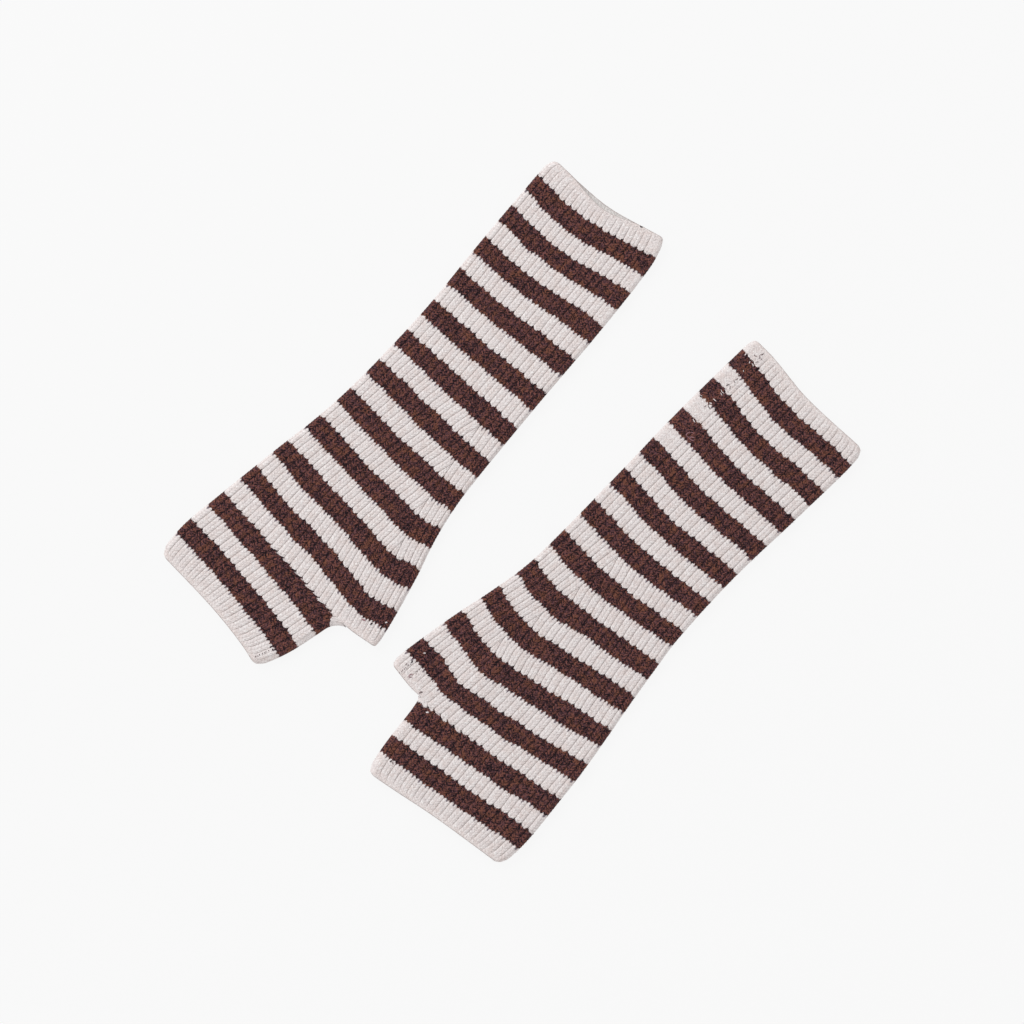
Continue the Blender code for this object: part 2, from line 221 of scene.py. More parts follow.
# Soft swells of the top layer: course, share, reach in courses, reach in shares, rise
RIGHT_SWELLS = (
    (9.6, 0.80, 2.2, 0.16, 0.7),
    (5.5, 0.40, 2.6, 0.22, 0.4),
)
LEFT_SWELLS = (
    (10.1, 0.66, 1.5, 0.12, 0.9),
    (8.6, 0.84, 1.6, 0.12, 0.5),
    (3.0, 0.55, 2.4, 0.24, 0.4),
)

# Loose bits of yarn on the knit, one of them a painted shadow: colour, x, y, length and width in
# millimetres, turn in degrees
RIGHT_BITS = (
    ("dark", -70.1, -56.0, 1.4, 0.9, 40),
    ("dark", -65.4, -58.1, 1.3, 0.8, 60),
    ("rust", -74.2, -54.1, 1.8, 0.9, -20),
    ("dark", -103.7, -54.5, 1.2, 0.8, 50),
    ("dark", -99.8, -58.8, 2.0, 0.5, 35),
    ("dark", -120.4, -67.6, 1.1, 0.8, 40),
    ("dark", -119.6, -68.7, 1.0, 0.7, 100),
    ("dark", 64.7, 142.9, 2.0, 0.7, -30),
    ("light", -62.8, -55.4, 1.1, 0.8, 10),
    ("rust", -3.2, 61.5, 1.4, 0.6, 70),
)
LEFT_BITS = (
    ("shade", 125.0, 79.0, 2.1, 0.50, 20),
    ("shade", 123.4, 77.4, 1.8, 0.50, 75),
    ("shade", 121.6, 78.2, 1.7, 0.45, -35),
    ("shade", 122.3, 75.0, 1.6, 0.45, 10),
    ("shade", 124.8, 76.4, 1.4, 0.40, -60),
    ("light", 116.6, 79.0, 1.6, 0.60, 60),
    ("light", 120.1, 73.4, 1.6, 0.60, -70),
    ("light", 118.9, 74.8, 1.3, 0.45, 80),
    ("light", 123.8, 70.9, 1.3, 0.80, 0),
    ("shade", 112.1, 66.4, 2.0, 0.50, 30),
    ("shade", 111.0, 65.0, 1.6, 0.45, -50),
    ("dark", 107.9, 63.2, 1.8, 0.50, 15),
    ("shade", 108.9, 62.2, 1.4, 0.45, 80),
    ("light", 106.6, 61.4, 2.6, 0.40, -55),
    ("light", 105.3, 60.2, 2.4, 0.40, -50),
    ("light", 104.6, 58.9, 1.8, 0.35, -60),
    ("light", 101.2, 55.9, 2.0, 0.50, -40),
    ("light", 99.2, 54.2, 1.5, 0.60, -20),
    ("dark", 98.6, 52.4, 2.0, 0.45, -60),
    ("shade", 96.4, 52.8, 1.5, 0.50, 30),
    ("light", 91.0, 45.6, 2.0, 0.55, -60),
    ("dark", 94.5, 57.8, 1.3, 0.75, -30),
    ("dark", 110.2, 72.4, 1.6, 0.70, -35),
    ("dark", 113.8, 68.7, 1.4, 0.70, -45),
    ("light", -43.7, -70.5, 1.3, 0.85, 0),
    ("dark", -45.1, -76.5, 1.7, 0.65, 10),
    ("dark", -44.4, -77.8, 1.3, 0.60, 70),
    ("dark", -41.7, -81.3, 1.5, 0.85, 40),
    ("dark", -50.1, -74.8, 1.5, 0.70, 60),
    ("shade", -52.8, -76.0, 1.3, 0.60, 60),
    ("shade", -39.6, -84.2, 1.5, 0.55, 60),
    # A painted shadow: a grey strand laid where the crotch fold casts shade
    ("shade", -45.6, -90.3, 2.0, 0.90, 20),
    ("light", -42.3, -100.2, 1.5, 0.95, 0),
    ("dark", -43.3, -100.9, 1.4, 0.50, 60),
    ("dark", -49.6, -106.9, 1.5, 0.75, 40),
    ("dark", -48.4, -108.3, 1.2, 0.60, 90),
    ("dark", -60.6, -124.4, 1.3, 0.70, 40),
    ("shade", -59.5, -125.4, 1.2, 0.60, 90),
)
# Small loops of snagged yarn: colour, x, y, radius
LEFT_LOOPS = (("rust", 89.0, 38.6, 1.7), ("rust", 90.2, 36.6, 1.1), ("rust", -50.5, -81.9, 1.0))
# Rows of linking stitches: colour, start, end and number
RIGHT_ROWS = (("shade", (-121.8, -69.2), (-128.0, -72.4), 7),)
LEFT_ROWS = (
    ("shade", (-50.9, -76.0), (-56.2, -80.2), 8),
    ("shade", (-46.3, -79.0), (-48.2, -80.8), 3),
    ("light", (115.6, 70.6), (109.6, 64.4), 4),
)
# Strands: sides, lift off the knit in widths, largest bend and points of a bit, form of a loop
STRAND_SIDES = 6
STRAND_LIFT = 0.02
BIT_BEND, BIT_POINTS = 0.25, 6
LOOP_ANGLES, LOOP_POINTS = (0.3, 5.9), 18
LOOP_WAVE, LOOP_FLATNESS, LOOP_WIDTH = 0.18, 0.8, 0.42
# Linking stitches: how far they stray, their lengths and width, and their turn from the row
LINK_STRAY, LINK_LENGTHS, LINK_WIDTH, LINK_TURN = 0.15, (0.6, 0.95), 0.42, (70, 25)

# Short fibres that stand out of the wool: number, length and width, in millimetres
FIBRES = 7000
FIBRE_LENGTH = 1.7
FIBRE_WIDTH = 0.045
# Their lengths as shares, how far they rise and curl, and their rings: place and thickness
FIBRE_LENGTHS, FIBRE_RISES, FIBRE_CURL = (0.4, 1.3), (0.15, 0.45), 0.45
FIBRE_RINGS = ((-0.06, 1.0), (0.4, 0.9), (0.75, 0.65), (1.0, 0.0))
FIBRE_SIDES = ((0, 1), (1, 2), (2, 0))
# Share of its cell that a fibre fills on the texture map
CELL_FILL = 0.84

# What differs between the right warmer and the left one. flat and area are the cut of the whole
# tube opened out: (width, length) and area
WARMER_FACTS = (
    ("name", "right_hand_warmer", "left_hand_warmer"),
    ("middle", (-41.9, 46.5), (50.5, -39.1)),
    ("heading", math.radians(50.15), math.radians(45.0)),
    ("thumb_side", 1, -1),
    ("trunk", np.array(RIGHT_TRUNK), np.array(LEFT_TRUNK)),
    ("fingers", np.array(RIGHT_FINGERS), np.array(LEFT_FINGERS)),
    ("pulls", RIGHT_PULLS, LEFT_PULLS),
    ("swells", RIGHT_SWELLS, LEFT_SWELLS),
    ("trim", (0.3, 0.8), (0.7, 0.5)),
    ("thumb_span", 20.4, 24.0),
    ("thumb_corner", 0.15, 0.65),
    ("crotch_round", 7.0, 2.0),
    ("crotch_delay", 0.70, 0.045),
    ("crotch_reach", 2.8, 10.0),
    ("crotch_point", np.array((31.0, -108.4)), np.array((30.8, -107.6))),
    ("peek", 2.5, 0.0),
    ("seam_ribs", 5, 8),
    ("seam_squeeze", 0.0, 0.14),
    ("plain_ribs", 2, 3),
    ("plain_until", 3.0, 3.6),
    ("bits", RIGHT_BITS, LEFT_BITS),
    ("loops", (), LEFT_LOOPS),
    ("stitch_rows", RIGHT_ROWS, LEFT_ROWS),
    ("seed", 11, 23),
    ("flat", (0.214, 0.297), (0.214, 0.297)),
    ("area", 0.0467, 0.0485),
)

# Camera, light and floor, in metres and watts
CAMERA_HEIGHT = 2.5
SENSOR = 36.0
PHOTO_WIDTH = 0.512
CAMERA_REACH = 20
WORLD_STRENGTH = 0.70
LAMP_ENERGY = 34
LAMP_SIZE = 1.6
LAMP_PLACE = (-1.3, 1.5, 1.7)
CLOTH_MIDDLE_HEIGHT = 0.0035
FLOOR_HEIGHT = -0.0004
FLOOR_HALF = 4.0
FLOOR_GLOW = 0.895
FLOOR_TONES = (0.050, 0.050, 0.050), (0.052, 0.052, 0.052)

# Shader values of all the yarn
DULL = {"Roughness": 0.95, "Specular IOR Level": 0.06}
# Noise scales, in waves a metre
GRAIN_NOISE, FUZZ_NOISE, BLOTCH_NOISE, HUE_NOISE = 1250, 1800, 240, 900
YARN_NOISE, FLOOR_NOISE = 1600, 40
# Bumps: height in metres and strength
WOOL_BUMP, YARN_BUMP = (0.00030, 0.8), (0.00012, 0.7)
# A stripe reaches this far from its course, in courses, and its edge is this soft
STRIPE_EDGE, EDGE_SOFTNESS = 0.250, 0.013
# Distances from a rim, in millimetres, between which a colour changes; below 0 inside the tube
# The second pair is where painted shade deepens inside the tube, away from its openings
THUMB_EDGE_FADE, INSIDE_SHADE_FADE = (1.6, 2.0), (-4.0, -14.0)

CREAM = (0.80, 0.735, 0.725)
CREAM_LIGHT = (0.93, 0.90, 0.89)
CREAM_SHADE = (0.58, 0.505, 0.50)
CREAM_WARM = (0.75, 0.645, 0.615)
# Painted shade: rib valleys and middles, small holes, deep inside the tube and a broken line along the rims
CREAM_PAINTED_SHADE = (0.25, 0.19, 0.175)
CREAM_INSIDE = (0.76, 0.735, 0.715)
HOLE = (0.085, 0.060, 0.095)
BROWN_RED = (0.215, 0.080, 0.064)
BROWN_RUST = (0.195, 0.074, 0.048)
BROWN_PLUM = (0.130, 0.056, 0.064)
# Dark brown strands, also used as the painted shade of the brown rib valleys and stitch gaps
BROWN_DARK = (0.012, 0.007, 0.010)
# Loose yarns: name, colour and darker colour
YARNS = (
    ("dark_yarn", (0.060, 0.038, 0.042), (0.016, 0.011, 0.015)),
    ("shade_yarn", (0.34, 0.27, 0.27), (0.13, 0.095, 0.10)),
    ("light_yarn", (0.84, 0.78, 0.77), (0.60, 0.54, 0.54)),
    ("rust_yarn", (0.46, 0.25, 0.28), (0.17, 0.085, 0.10)),
)

# The texture map: the raised part takes this share of its width, and these are the heights of
# the outside, the inside and the four rim strips
MAP_TOP = 0.66
MAP_OUTSIDE = (0.02, 0.75)
MAP_INSIDE = (0.80, 0.97)
MAP_ARM_RIM = (0.015, 0.002)
MAP_FINGER_RIM = (0.980, 0.995)
MAP_THUMB_RIM = (0.760, 0.770)
MAP_CROTCH_RIM = (0.788, 0.778)

# Groups of points round a ring, in order
RIB_CODES, CROTCH_CODES, UNDER_CODES, END_CODE = 0, 100_000, 200_000, 300_000
CODES_A_RIB = 100
CROTCH_TOP_CODE = RIBS_TO_CROTCH * CODES_A_RIB
FOLD_CODES = CROTCH_CODES + np.arange(len(CROTCH_PARTS))
FOLD_MIDDLE = [len(CROTCH_PARTS) // 2]
CROTCH_UNDER_CODE = UNDER_CODES + UNDER_COLUMNS_OF_THUMB


def smooth(marks, values, at):
    """Read a smooth curve through (marks, values) at many places; values may have columns."""
    values = np.asarray(values, float)
    at = np.atleast_1d(np.asarray(at, float))
    count = len(marks)
    last = np.arange(count)
    after, before = np.minimum(last + 1, count - 1), np.maximum(last - 1, 0)
    column = (slice(None),) + (None,) * (values.ndim - 1)
    slopes = (values[after] - values[before]) / (marks[after] - marks[before])[column]
    place = np.clip(np.searchsorted(marks, at) - 1, 0, count - 2)
    span = marks[place + 1] - marks[place]
    part = ((at - marks[place]) / span)[column]
    rise = values[place + 1] - values[place]
    start, end = slopes[place] * span[column], slopes[place + 1] * span[column]
    bend = (start + end - 2 * rise) * part + 3 * rise - 2 * start - end
    return values[place] + part * (start + part * bend)


def ease(value):
    """Turn 0 to 1 into a soft step."""
    value = np.clip(value, 0.0, 1.0)
    return value * value * (3 - 2 * value)


def hills(table, course, share):
    """Add up soft hills at many places of a row: centre, two reaches and height of each."""
    total = np.zeros_like(share)
    for centre, across, reach, reach_across, height in table:
        a, b = (course - centre) / reach, (share - across) / reach_across
        total += height * np.exp(-2 * (a * a + b * b))
    return total


def read_knots(table, course):
    """Read every row of a table of random values at one course, softly."""
    place = min(max(course, 0.0), table.shape[1] - 1.001)
    index = int(place)
    part = ease(place - index)
    return table[:, index] * (1 - part) + table[:, index + 1] * part


class Warmer:
    """One warmer: its tables and the small irregularities of its ribs."""

    def __init__(self, facts):
        self.__dict__.update(facts)
        random = np.random.default_rng(self.seed)
        ribs = BODY_RIBS + GUSSET_RIBS
        self.valley_shift = random.normal(0.0, VALLEY_SPREAD, (ribs, VALLEY_KNOTS))
        self.rib_gain = 1 + random.normal(0.0, GAIN_SPREAD, (ribs, KNOTS))
        self.stitch_shift = random.normal(0.0, STITCH_SPREAD, (ribs, KNOTS))
        self.yarn = np.random.default_rng(self.seed + 1)
        self.fold_ribs = BODY_RIBS - self.seam_ribs

    def widths(self, course):
        """Give the relative width of each rib at a course: 0 before a gusset rib starts."""
        grown = [ease((course - start) / GUSSET_GROWTH) for start in GUSSET_STARTS]
        squeeze = 1 - self.seam_squeeze * ease((course - SQUEEZE_START) / SQUEEZE_REACH)
        parts = [np.ones(self.fold_ribs), np.array(grown), np.full(self.seam_ribs, squeeze)]
        return np.concatenate(parts)

    def plainness(self, ribs, course):
        """Say how far the ribs beside the linked seam lie flat at a course, from 0 to 1."""
        beside = ribs >= BODY_RIBS + GUSSET_RIBS - self.plain_ribs
        return beside * PLAIN_SHARE * ease((self.plain_until + 1 - course) / PLAIN_FADE)

    def to_world(self, points):
        """Lay points (across, along, height), in millimetres, on the surface, in metres."""
        across, along, height = points.T
        across = across * self.thumb_side
        cos, sin = math.cos(self.heading), math.sin(self.heading)
        x = self.middle[0] + along * cos + across * sin
        y = self.middle[1] + along * sin - across * cos
        return np.stack((x, y, height), 1) * MM


def along_section(section, across):
    """Read the place along the tube on a section: its fold, its seam and its four marks."""
    share = (across - section[0]) / (section[1] - section[0])
    return smooth(SHARE_MARKS, section[2:], np.clip(share, 0, 1))


class Row:
    """One row of the tube."""

    def __init__(self, warmer, course, in_fingers):
        self.warmer = warmer
        self.course = course
        self.in_fingers = in_fingers
        table = warmer.fingers if in_fingers else warmer.trunk
        self.section = smooth(table[:, 0], table[:, 1:], course)[0]
        self.fold, self.seam = self.section[:2]
        self.arm_distance = (course - warmer.trunk[0, 0]) * REPEAT
        self.finger_distance = (warmer.fingers[-1, 0] - course) * REPEAT
        self.thumb_distance = (THUMB_COURSE - course) * REPEAT
        self.edge = min(self.arm_distance, self.finger_distance)
        self.inset, self.ribs, self.lips, _ = self.rim(self.edge)
        self.peek = warmer.peek * self.rim(self.arm_distance)[3]
        self.thumb_edge = self.edge if in_fingers else min(self.edge, self.thumb_distance)
        self.seam_inset, self.thumb_ribs, self.thumb_lips, _ = self.rim(self.thumb_edge)
        if self.thumb_edge < self.edge:
            self.seam_inset *= warmer.thumb_corner
        elif self.arm_distance < self.finger_distance:
            self.seam_inset *= ARM_SEAM_CORNER
        self.left = self.fold + self.inset + warmer.trim[0]
        self.right = self.seam - self.seam_inset - warmer.trim[1]
        self.crotch_across = self.seam - warmer.thumb_span
        self.blend = 0.0
        if in_fingers:
            self.crotch_across = self.right - OUTER_RADIUS
            self.blend = 1 - ease(-self.thumb_distance / CROTCH_BLEND)
            first = warmer.fingers[0]
            trunk_seam = warmer.trunk[-1, 2]
            shift = (trunk_seam - warmer.thumb_span) - (first[2] - warmer.trim[1] - OUTER_RADIUS)
            left_over = 1 - np.clip(-self.thumb_distance / warmer.crotch_round, 0, 1)
            self.crotch_across += shift * left_over**3
            self.right = self.crotch_across + OUTER_RADIUS
        self.length = 2 * math.pi * OUTER_RADIUS + self.right - self.left - 2 * OUTER_RADIUS
        self.crotch_place = math.pi * OUTER_RADIUS + self.crotch_across - self.left - OUTER_RADIUS

    @staticmethod
    def rim(distance):
        """Read the rim rows: corner inset, rib height, lips and peek."""
        return [np.interp(distance, RIM_ROWS[:, 0], RIM_ROWS[:, column]) for column in range(1, 5)]

    def share(self, across):
        """Turn a place across the tube into a share from the fold to the seam."""
        return (across - self.fold) / (self.seam - self.fold)

    def along(self, across):
        """Give the place along the tube, with the pulls of the knit."""
        place = along_section(self.section, across)
        if self.blend > 0:
            last = along_section(self.warmer.trunk[-1, 1:], across)
            first = along_section(self.warmer.fingers[0, 1:], across)
            place = place + (last - first) * self.blend
        edge = min(self.edge, abs(self.thumb_distance))
        pull = hills(self.warmer.pulls, self.course, np.clip(self.share(across), 0, 1))
        return place + pull * ease(edge / PULL_FADE)

    def peek_shift(self, across):
        """Say how far the top layer draws back from the arm opening."""
        part = (self.share(across) - PEEK_START) / (PEEK_END - PEEK_START)
        return self.peek * np.sin(math.pi * np.clip(part, 0, 1)) ** 2

    def wall_radius(self, edge):
        """Give the outside radius, which rounds off towards a rim."""
        part = np.clip(np.asarray(edge) / RIM_ROUNDING, 0, 1)
        full = THINNEST_RIM + (1 - THINNEST_RIM) * np.sqrt(1 - (1 - part) ** 2)
        return INNER_RADIUS + WALL * full

    def valleys(self):
        """List the place of each rib valley and the end of the last rib."""
        warmer = self.warmer
        widths = warmer.widths(self.course)[: RIBS_TO_CROTCH if self.in_fingers else None]
        shift = read_knots(warmer.valley_shift, self.course)
        length = self.crotch_place if self.in_fingers else self.length
        place = np.concatenate(([0.0], np.cumsum(widths))) / widths.sum() * length
        if not self.in_fingers:
            part = ease((self.course - THUMB_START) / (THUMB_COURSE - THUMB_START))
            aim = place[RIBS_TO_CROTCH] + part * (self.crotch_place - place[RIBS_TO_CROTCH])
            known = (0.0, place[RIBS_TO_CROTCH], length)
            place = np.interp(place, known, (0.0, aim, length))
        count = len(widths)
        fixed = np.zeros(count + 1)
        fixed[1:count] = shift[1:count] * np.minimum(widths[1:], widths[:-1])
        if not self.in_fingers and self.course > THUMB_START:
            fixed[RIBS_TO_CROTCH] *= 1 - ease((self.course - THUMB_START) / CROTCH_STEADY)
        return widths, place + fixed

    def raised(self, places, stand, radius, on_thumb=False):
        """Give points on the raised outside or on the inside."""
        quarter, side = math.pi / 2, math.pi * OUTER_RADIUS
        flat = self.right - self.left - 2 * OUTER_RADIUS
        fold_angle = np.minimum(places / OUTER_RADIUS, math.pi) - quarter
        seam_angle = quarter - np.maximum(places - side - flat, 0) / OUTER_RADIUS
        by_fold = places < side
        angle = np.where(by_fold, fold_angle, seam_angle)
        outward = np.stack((np.where(by_fold, -np.cos(angle), np.cos(angle)), np.sin(angle)), 1)
        centre = np.clip(
            self.left + OUTER_RADIUS + places - side,
            self.left + OUTER_RADIUS,
            self.right - OUTER_RADIUS,
        )
        across = centre + radius * outward[:, 0]
        height = OUTER_RADIUS + radius * outward[:, 1]
        along = self.along(across) - self.peek_shift(across) * np.maximum(outward[:, 1], 0)
        lips = np.where(on_thumb, self.thumb_lips, self.lips)
        swell = hills(self.warmer.swells, self.course, self.share(across))
        lift = (lips + swell) * np.maximum(outward[:, 1], 0) ** 2
        stand = stand * np.clip(SIDE_STAND + SIDE_SLOPE * outward[:, 1], 0, 1)
        return np.stack((across + stand * outward[:, 0], along, height + lift + stand * outward[:, 1]), 1)

    def under(self, height):
        """Give the points of the plain underside, from the seam to the fold."""
        start, end = self.right - OUTER_RADIUS, self.left + OUTER_RADIUS
        steps = np.arange(UNDER_COLUMNS, dtype=float)
        even = steps / UNDER_COLUMNS
        split = UNDER_COLUMNS_OF_THUMB
        if self.in_fingers:
            steps = steps[split:]
            part = (steps - split) / (UNDER_COLUMNS - split)
        else:
            crotch = (self.crotch_across - start) / (end - start)
            after = crotch + (1 - crotch) * (steps - split) / (UNDER_COLUMNS - split)
            by_crotch = np.where(steps <= split, crotch * steps / split, after)
            blend = ease((self.course - UNDER_START) / UNDER_REACH)
            part = even + (by_crotch - even) * blend
        across = start + (end - start) * part
        return steps, np.stack((across, self.along(across), np.full(len(across), height)), 1)

    def crotch(self, radius, stand):
        """Give the points of the fold that starts at the crotch, without its two ends."""
        angle = math.pi * (0.5 - CROTCH_PARTS)
        outward = np.stack((np.cos(angle), np.sin(angle)), 1)
        reach = radius + stand * np.clip(SIDE_STAND + SIDE_SLOPE * outward[:, 1], 0, 1)
        across = self.crotch_across + reach * outward[:, 0]
        dip = CROTCH_DIP * (self.blend if self.in_fingers else 1.0)
        along = self.along(np.minimum(across, self.seam)) - dip * outward[:, 0]
        lift = self.lips * np.maximum(outward[:, 1], 0) ** 2
        return np.stack((across, along, OUTER_RADIUS + reach * outward[:, 1] + lift), 1)


RING_PARTS = ("codes", "points", "left", "right", "edge", "depth", "spread", "course", "level")


class Ring:
    """Keyed points round one row. left and right are the rib numbers of the face after each.

    edge is the distance from a rim, below 0 on the inside. depth says how strongly the wool
    material draws the ribs and their painted valley shade. spread and level are places on the
    flat texture map.
    """

    def __init__(self, codes, points, *facts):
        self.codes, self.points, self.first = codes, points, None
        for name, fact in zip(RING_PARTS[2:], facts):
            setattr(self, name, np.broadcast_to(fact, np.shape(codes)))

    def part(self, chosen):
        """Keep some points, as a path on the same vertices."""
        chosen = np.nonzero(chosen)[0]
        path = Ring(*(getattr(self, name)[chosen] for name in RING_PARTS))
        path.first = self.first[chosen]
        return path


def map_level(row, area):
    """Turn a row into a height on the texture map, in the area of the outside or the inside."""
    start, end = row.warmer.trunk[0, 0], row.warmer.fingers[-1, 0]
    return area[0] + (area[1] - area[0]) * (row.course - start) / (end - start)


def map_under(steps):
    """Turn columns of the underside into places across the texture map."""
    return MAP_TOP + (1 - MAP_TOP) * steps / UNDER_COLUMNS


def stitch_stand(row, ribs, phases, courses):
    """Give the rise of single stitches, small V shapes that point to the fingers."""
    half = np.abs(phases - 0.5) * 2
    shift = read_knots(row.warmer.stitch_shift, row.course)[ribs]
    turn = 2 * math.pi * (courses * STITCHES_A_REPEAT + half + shift)
    return STITCH_RISE * np.cos(turn) * np.sin(math.pi * np.clip(half, 0.0, 1)) ** 0.5


def base_stand(share):
    """Give the height of a rib valley for a share of the full rib height."""
    return RIB_BASE * (RIM_BASE + (1 - RIM_BASE) * share)


def fold_marks(count):
    """Number the faces round the fold at the crotch like ribs that follow the last one."""
    marks = RIBS_TO_CROTCH + FOLD_RIBS * np.arange(count + 1) / count
    return marks[:-1], marks[1:]


def fold_spread(row, count):
    """Give the fold its places on the texture map, between the last rib and the underside."""
    first, last = MAP_TOP * row.crotch_place / row.length, map_under(UNDER_COLUMNS_OF_THUMB)
    return np.linspace(first, last, count + 1)[:-1]


def under_part(row, radius):
    """Make the plain underside of a row."""
    steps, points = row.under(OUTER_RADIUS - radius)
    across = np.append(points[:, 0], row.left + OUTER_RADIUS) / UNDER_RIB
    codes = UNDER_CODES + steps.astype(int)
    return Ring(codes, points, across[:-1], across[1:], row.edge, row.ribs, map_under(steps), 0, 0)


def rib_part(row):
    """Make the ribs of a row with their single stitches."""
    widths, valleys = row.valleys()
    present = np.nonzero(widths > 0)[0]
    ribs = np.repeat(present, len(RIB_PHASES))
    phases = np.tile(RIB_PHASES, len(present))
    places = valleys[ribs] + phases * (valleys[ribs + 1] - valleys[ribs])
    on_thumb = (ribs >= RIBS_TO_CROTCH) & (not row.in_fingers) & (row.course > THUMB_START)
    edge = np.where(on_thumb, row.thumb_edge, row.edge)
    share = np.where(on_thumb, row.thumb_ribs, row.ribs)
    gain = read_knots(row.warmer.rib_gain, row.course)[ribs] * np.minimum(widths[ribs], 1) ** 0.5
    plain = row.warmer.plainness(ribs, row.course)
    profile = np.tile(RIB_PROFILE, len(present)) * gain * (1 - plain) + PLAIN_RIB * plain
    stand = base_stand(share) + (RIB_RISE - RIB_BASE) * (profile * share)
    rough = row.warmer.yarn.normal(0.0, YARN_ROUGHNESS, len(ribs))
    stand = stand + (stitch_stand(row, ribs, phases, row.course) + rough) * share
    points = row.raised(places, stand, row.wall_radius(edge), on_thumb)
    codes = RIB_CODES + ribs * CODES_A_RIB + np.tile(np.arange(len(RIB_PHASES)), len(present))
    after = np.append(phases[1:], 1.0)
    right = ribs + np.where(after > 0, after, 1.0)
    spread = MAP_TOP * places / row.length
    return Ring(codes, points, ribs + phases, right, edge, share * (1 - plain), spread, 0, 0)


def outer_ring(row):
    """Make the outside of a row: its ribs, the fold at the crotch and the underside."""
    radius = float(row.wall_radius(row.edge))
    parts = [rib_part(row)]
    if row.in_fingers:
        top = row.raised(np.array([row.crotch_place]), base_stand(row.ribs), radius)
        fold = row.crotch(radius, FOLD_RISE * row.ribs * np.sin(math.pi * CROTCH_PARTS))
        codes = np.append(CROTCH_TOP_CODE, FOLD_CODES)
        depth, spread = SEAM_FOLD_DEPTH * row.ribs, fold_spread(row, len(codes))
        marks = fold_marks(len(codes))
        parts.append(Ring(codes, np.concatenate((top, fold)), *marks, row.edge, depth, spread, 0, 0))
    ring = joined(*parts, under_part(row, radius))
    away = from_crotch(row, ring.points)
    ring.edge = np.maximum(ring.edge, RIM_END - away)
    ring.depth = ring.depth * (1 - CROTCH_CALM * np.exp(-((away / CALM_REACH) ** 2)))
    ring.course = delayed_course(row, ring.points)
    ring.level = np.full(len(away), map_level(row, MAP_OUTSIDE))
    return ring


def from_crotch(row, points):
    """Measure how far points lie from the crotch."""
    return np.linalg.norm(points[:, :2] - row.warmer.crotch_point, axis=1)


def delayed_course(row, points):
    """Hold stripe 12 back beside the crotch, where extra cream stitches close the corner."""
    away = from_crotch(row, points)
    delay = row.warmer.crotch_delay * np.exp(-((away / row.warmer.crotch_reach) ** 2))
    return np.maximum(row.course - delay, min(row.course, CROTCH_HOLD))


def inner_ring(row):
    """Make the plain inside of a row, with one point for each rib."""
    widths, valleys = row.valleys()
    present = np.nonzero(widths > 0)[0]
    points = [row.raised(valleys[present], 0.0, INNER_RADIUS)]
    codes, spreads = [RIB_CODES + present * CODES_A_RIB], [MAP_TOP * valleys[present] / row.length]
    if row.in_fingers:
        points.append(row.raised(np.array([row.crotch_place]), 0.0, INNER_RADIUS))
        points.append(row.crotch(INNER_RADIUS, 0.0)[FOLD_MIDDLE])
        codes.append(np.append(CROTCH_TOP_CODE, FOLD_CODES[FOLD_MIDDLE]))
        spreads.append(fold_spread(row, 2))
    under = under_part(row, INNER_RADIUS)
    points = np.concatenate(points + [under.points])
    across = np.append(points[:, 0], points[0, 0]) / UNDER_RIB
    edge = -np.maximum(max(row.edge, 0.0), RIM_END - from_crotch(row, points))
    codes, spread = np.concatenate(codes + [under.codes]), np.concatenate(spreads + [under.spread])
    facts = (edge, INSIDE_DEPTH * row.ribs, spread, row.course, map_level(row, MAP_INSIDE))
    return Ring(codes, points, across[:-1], across[1:], *facts)


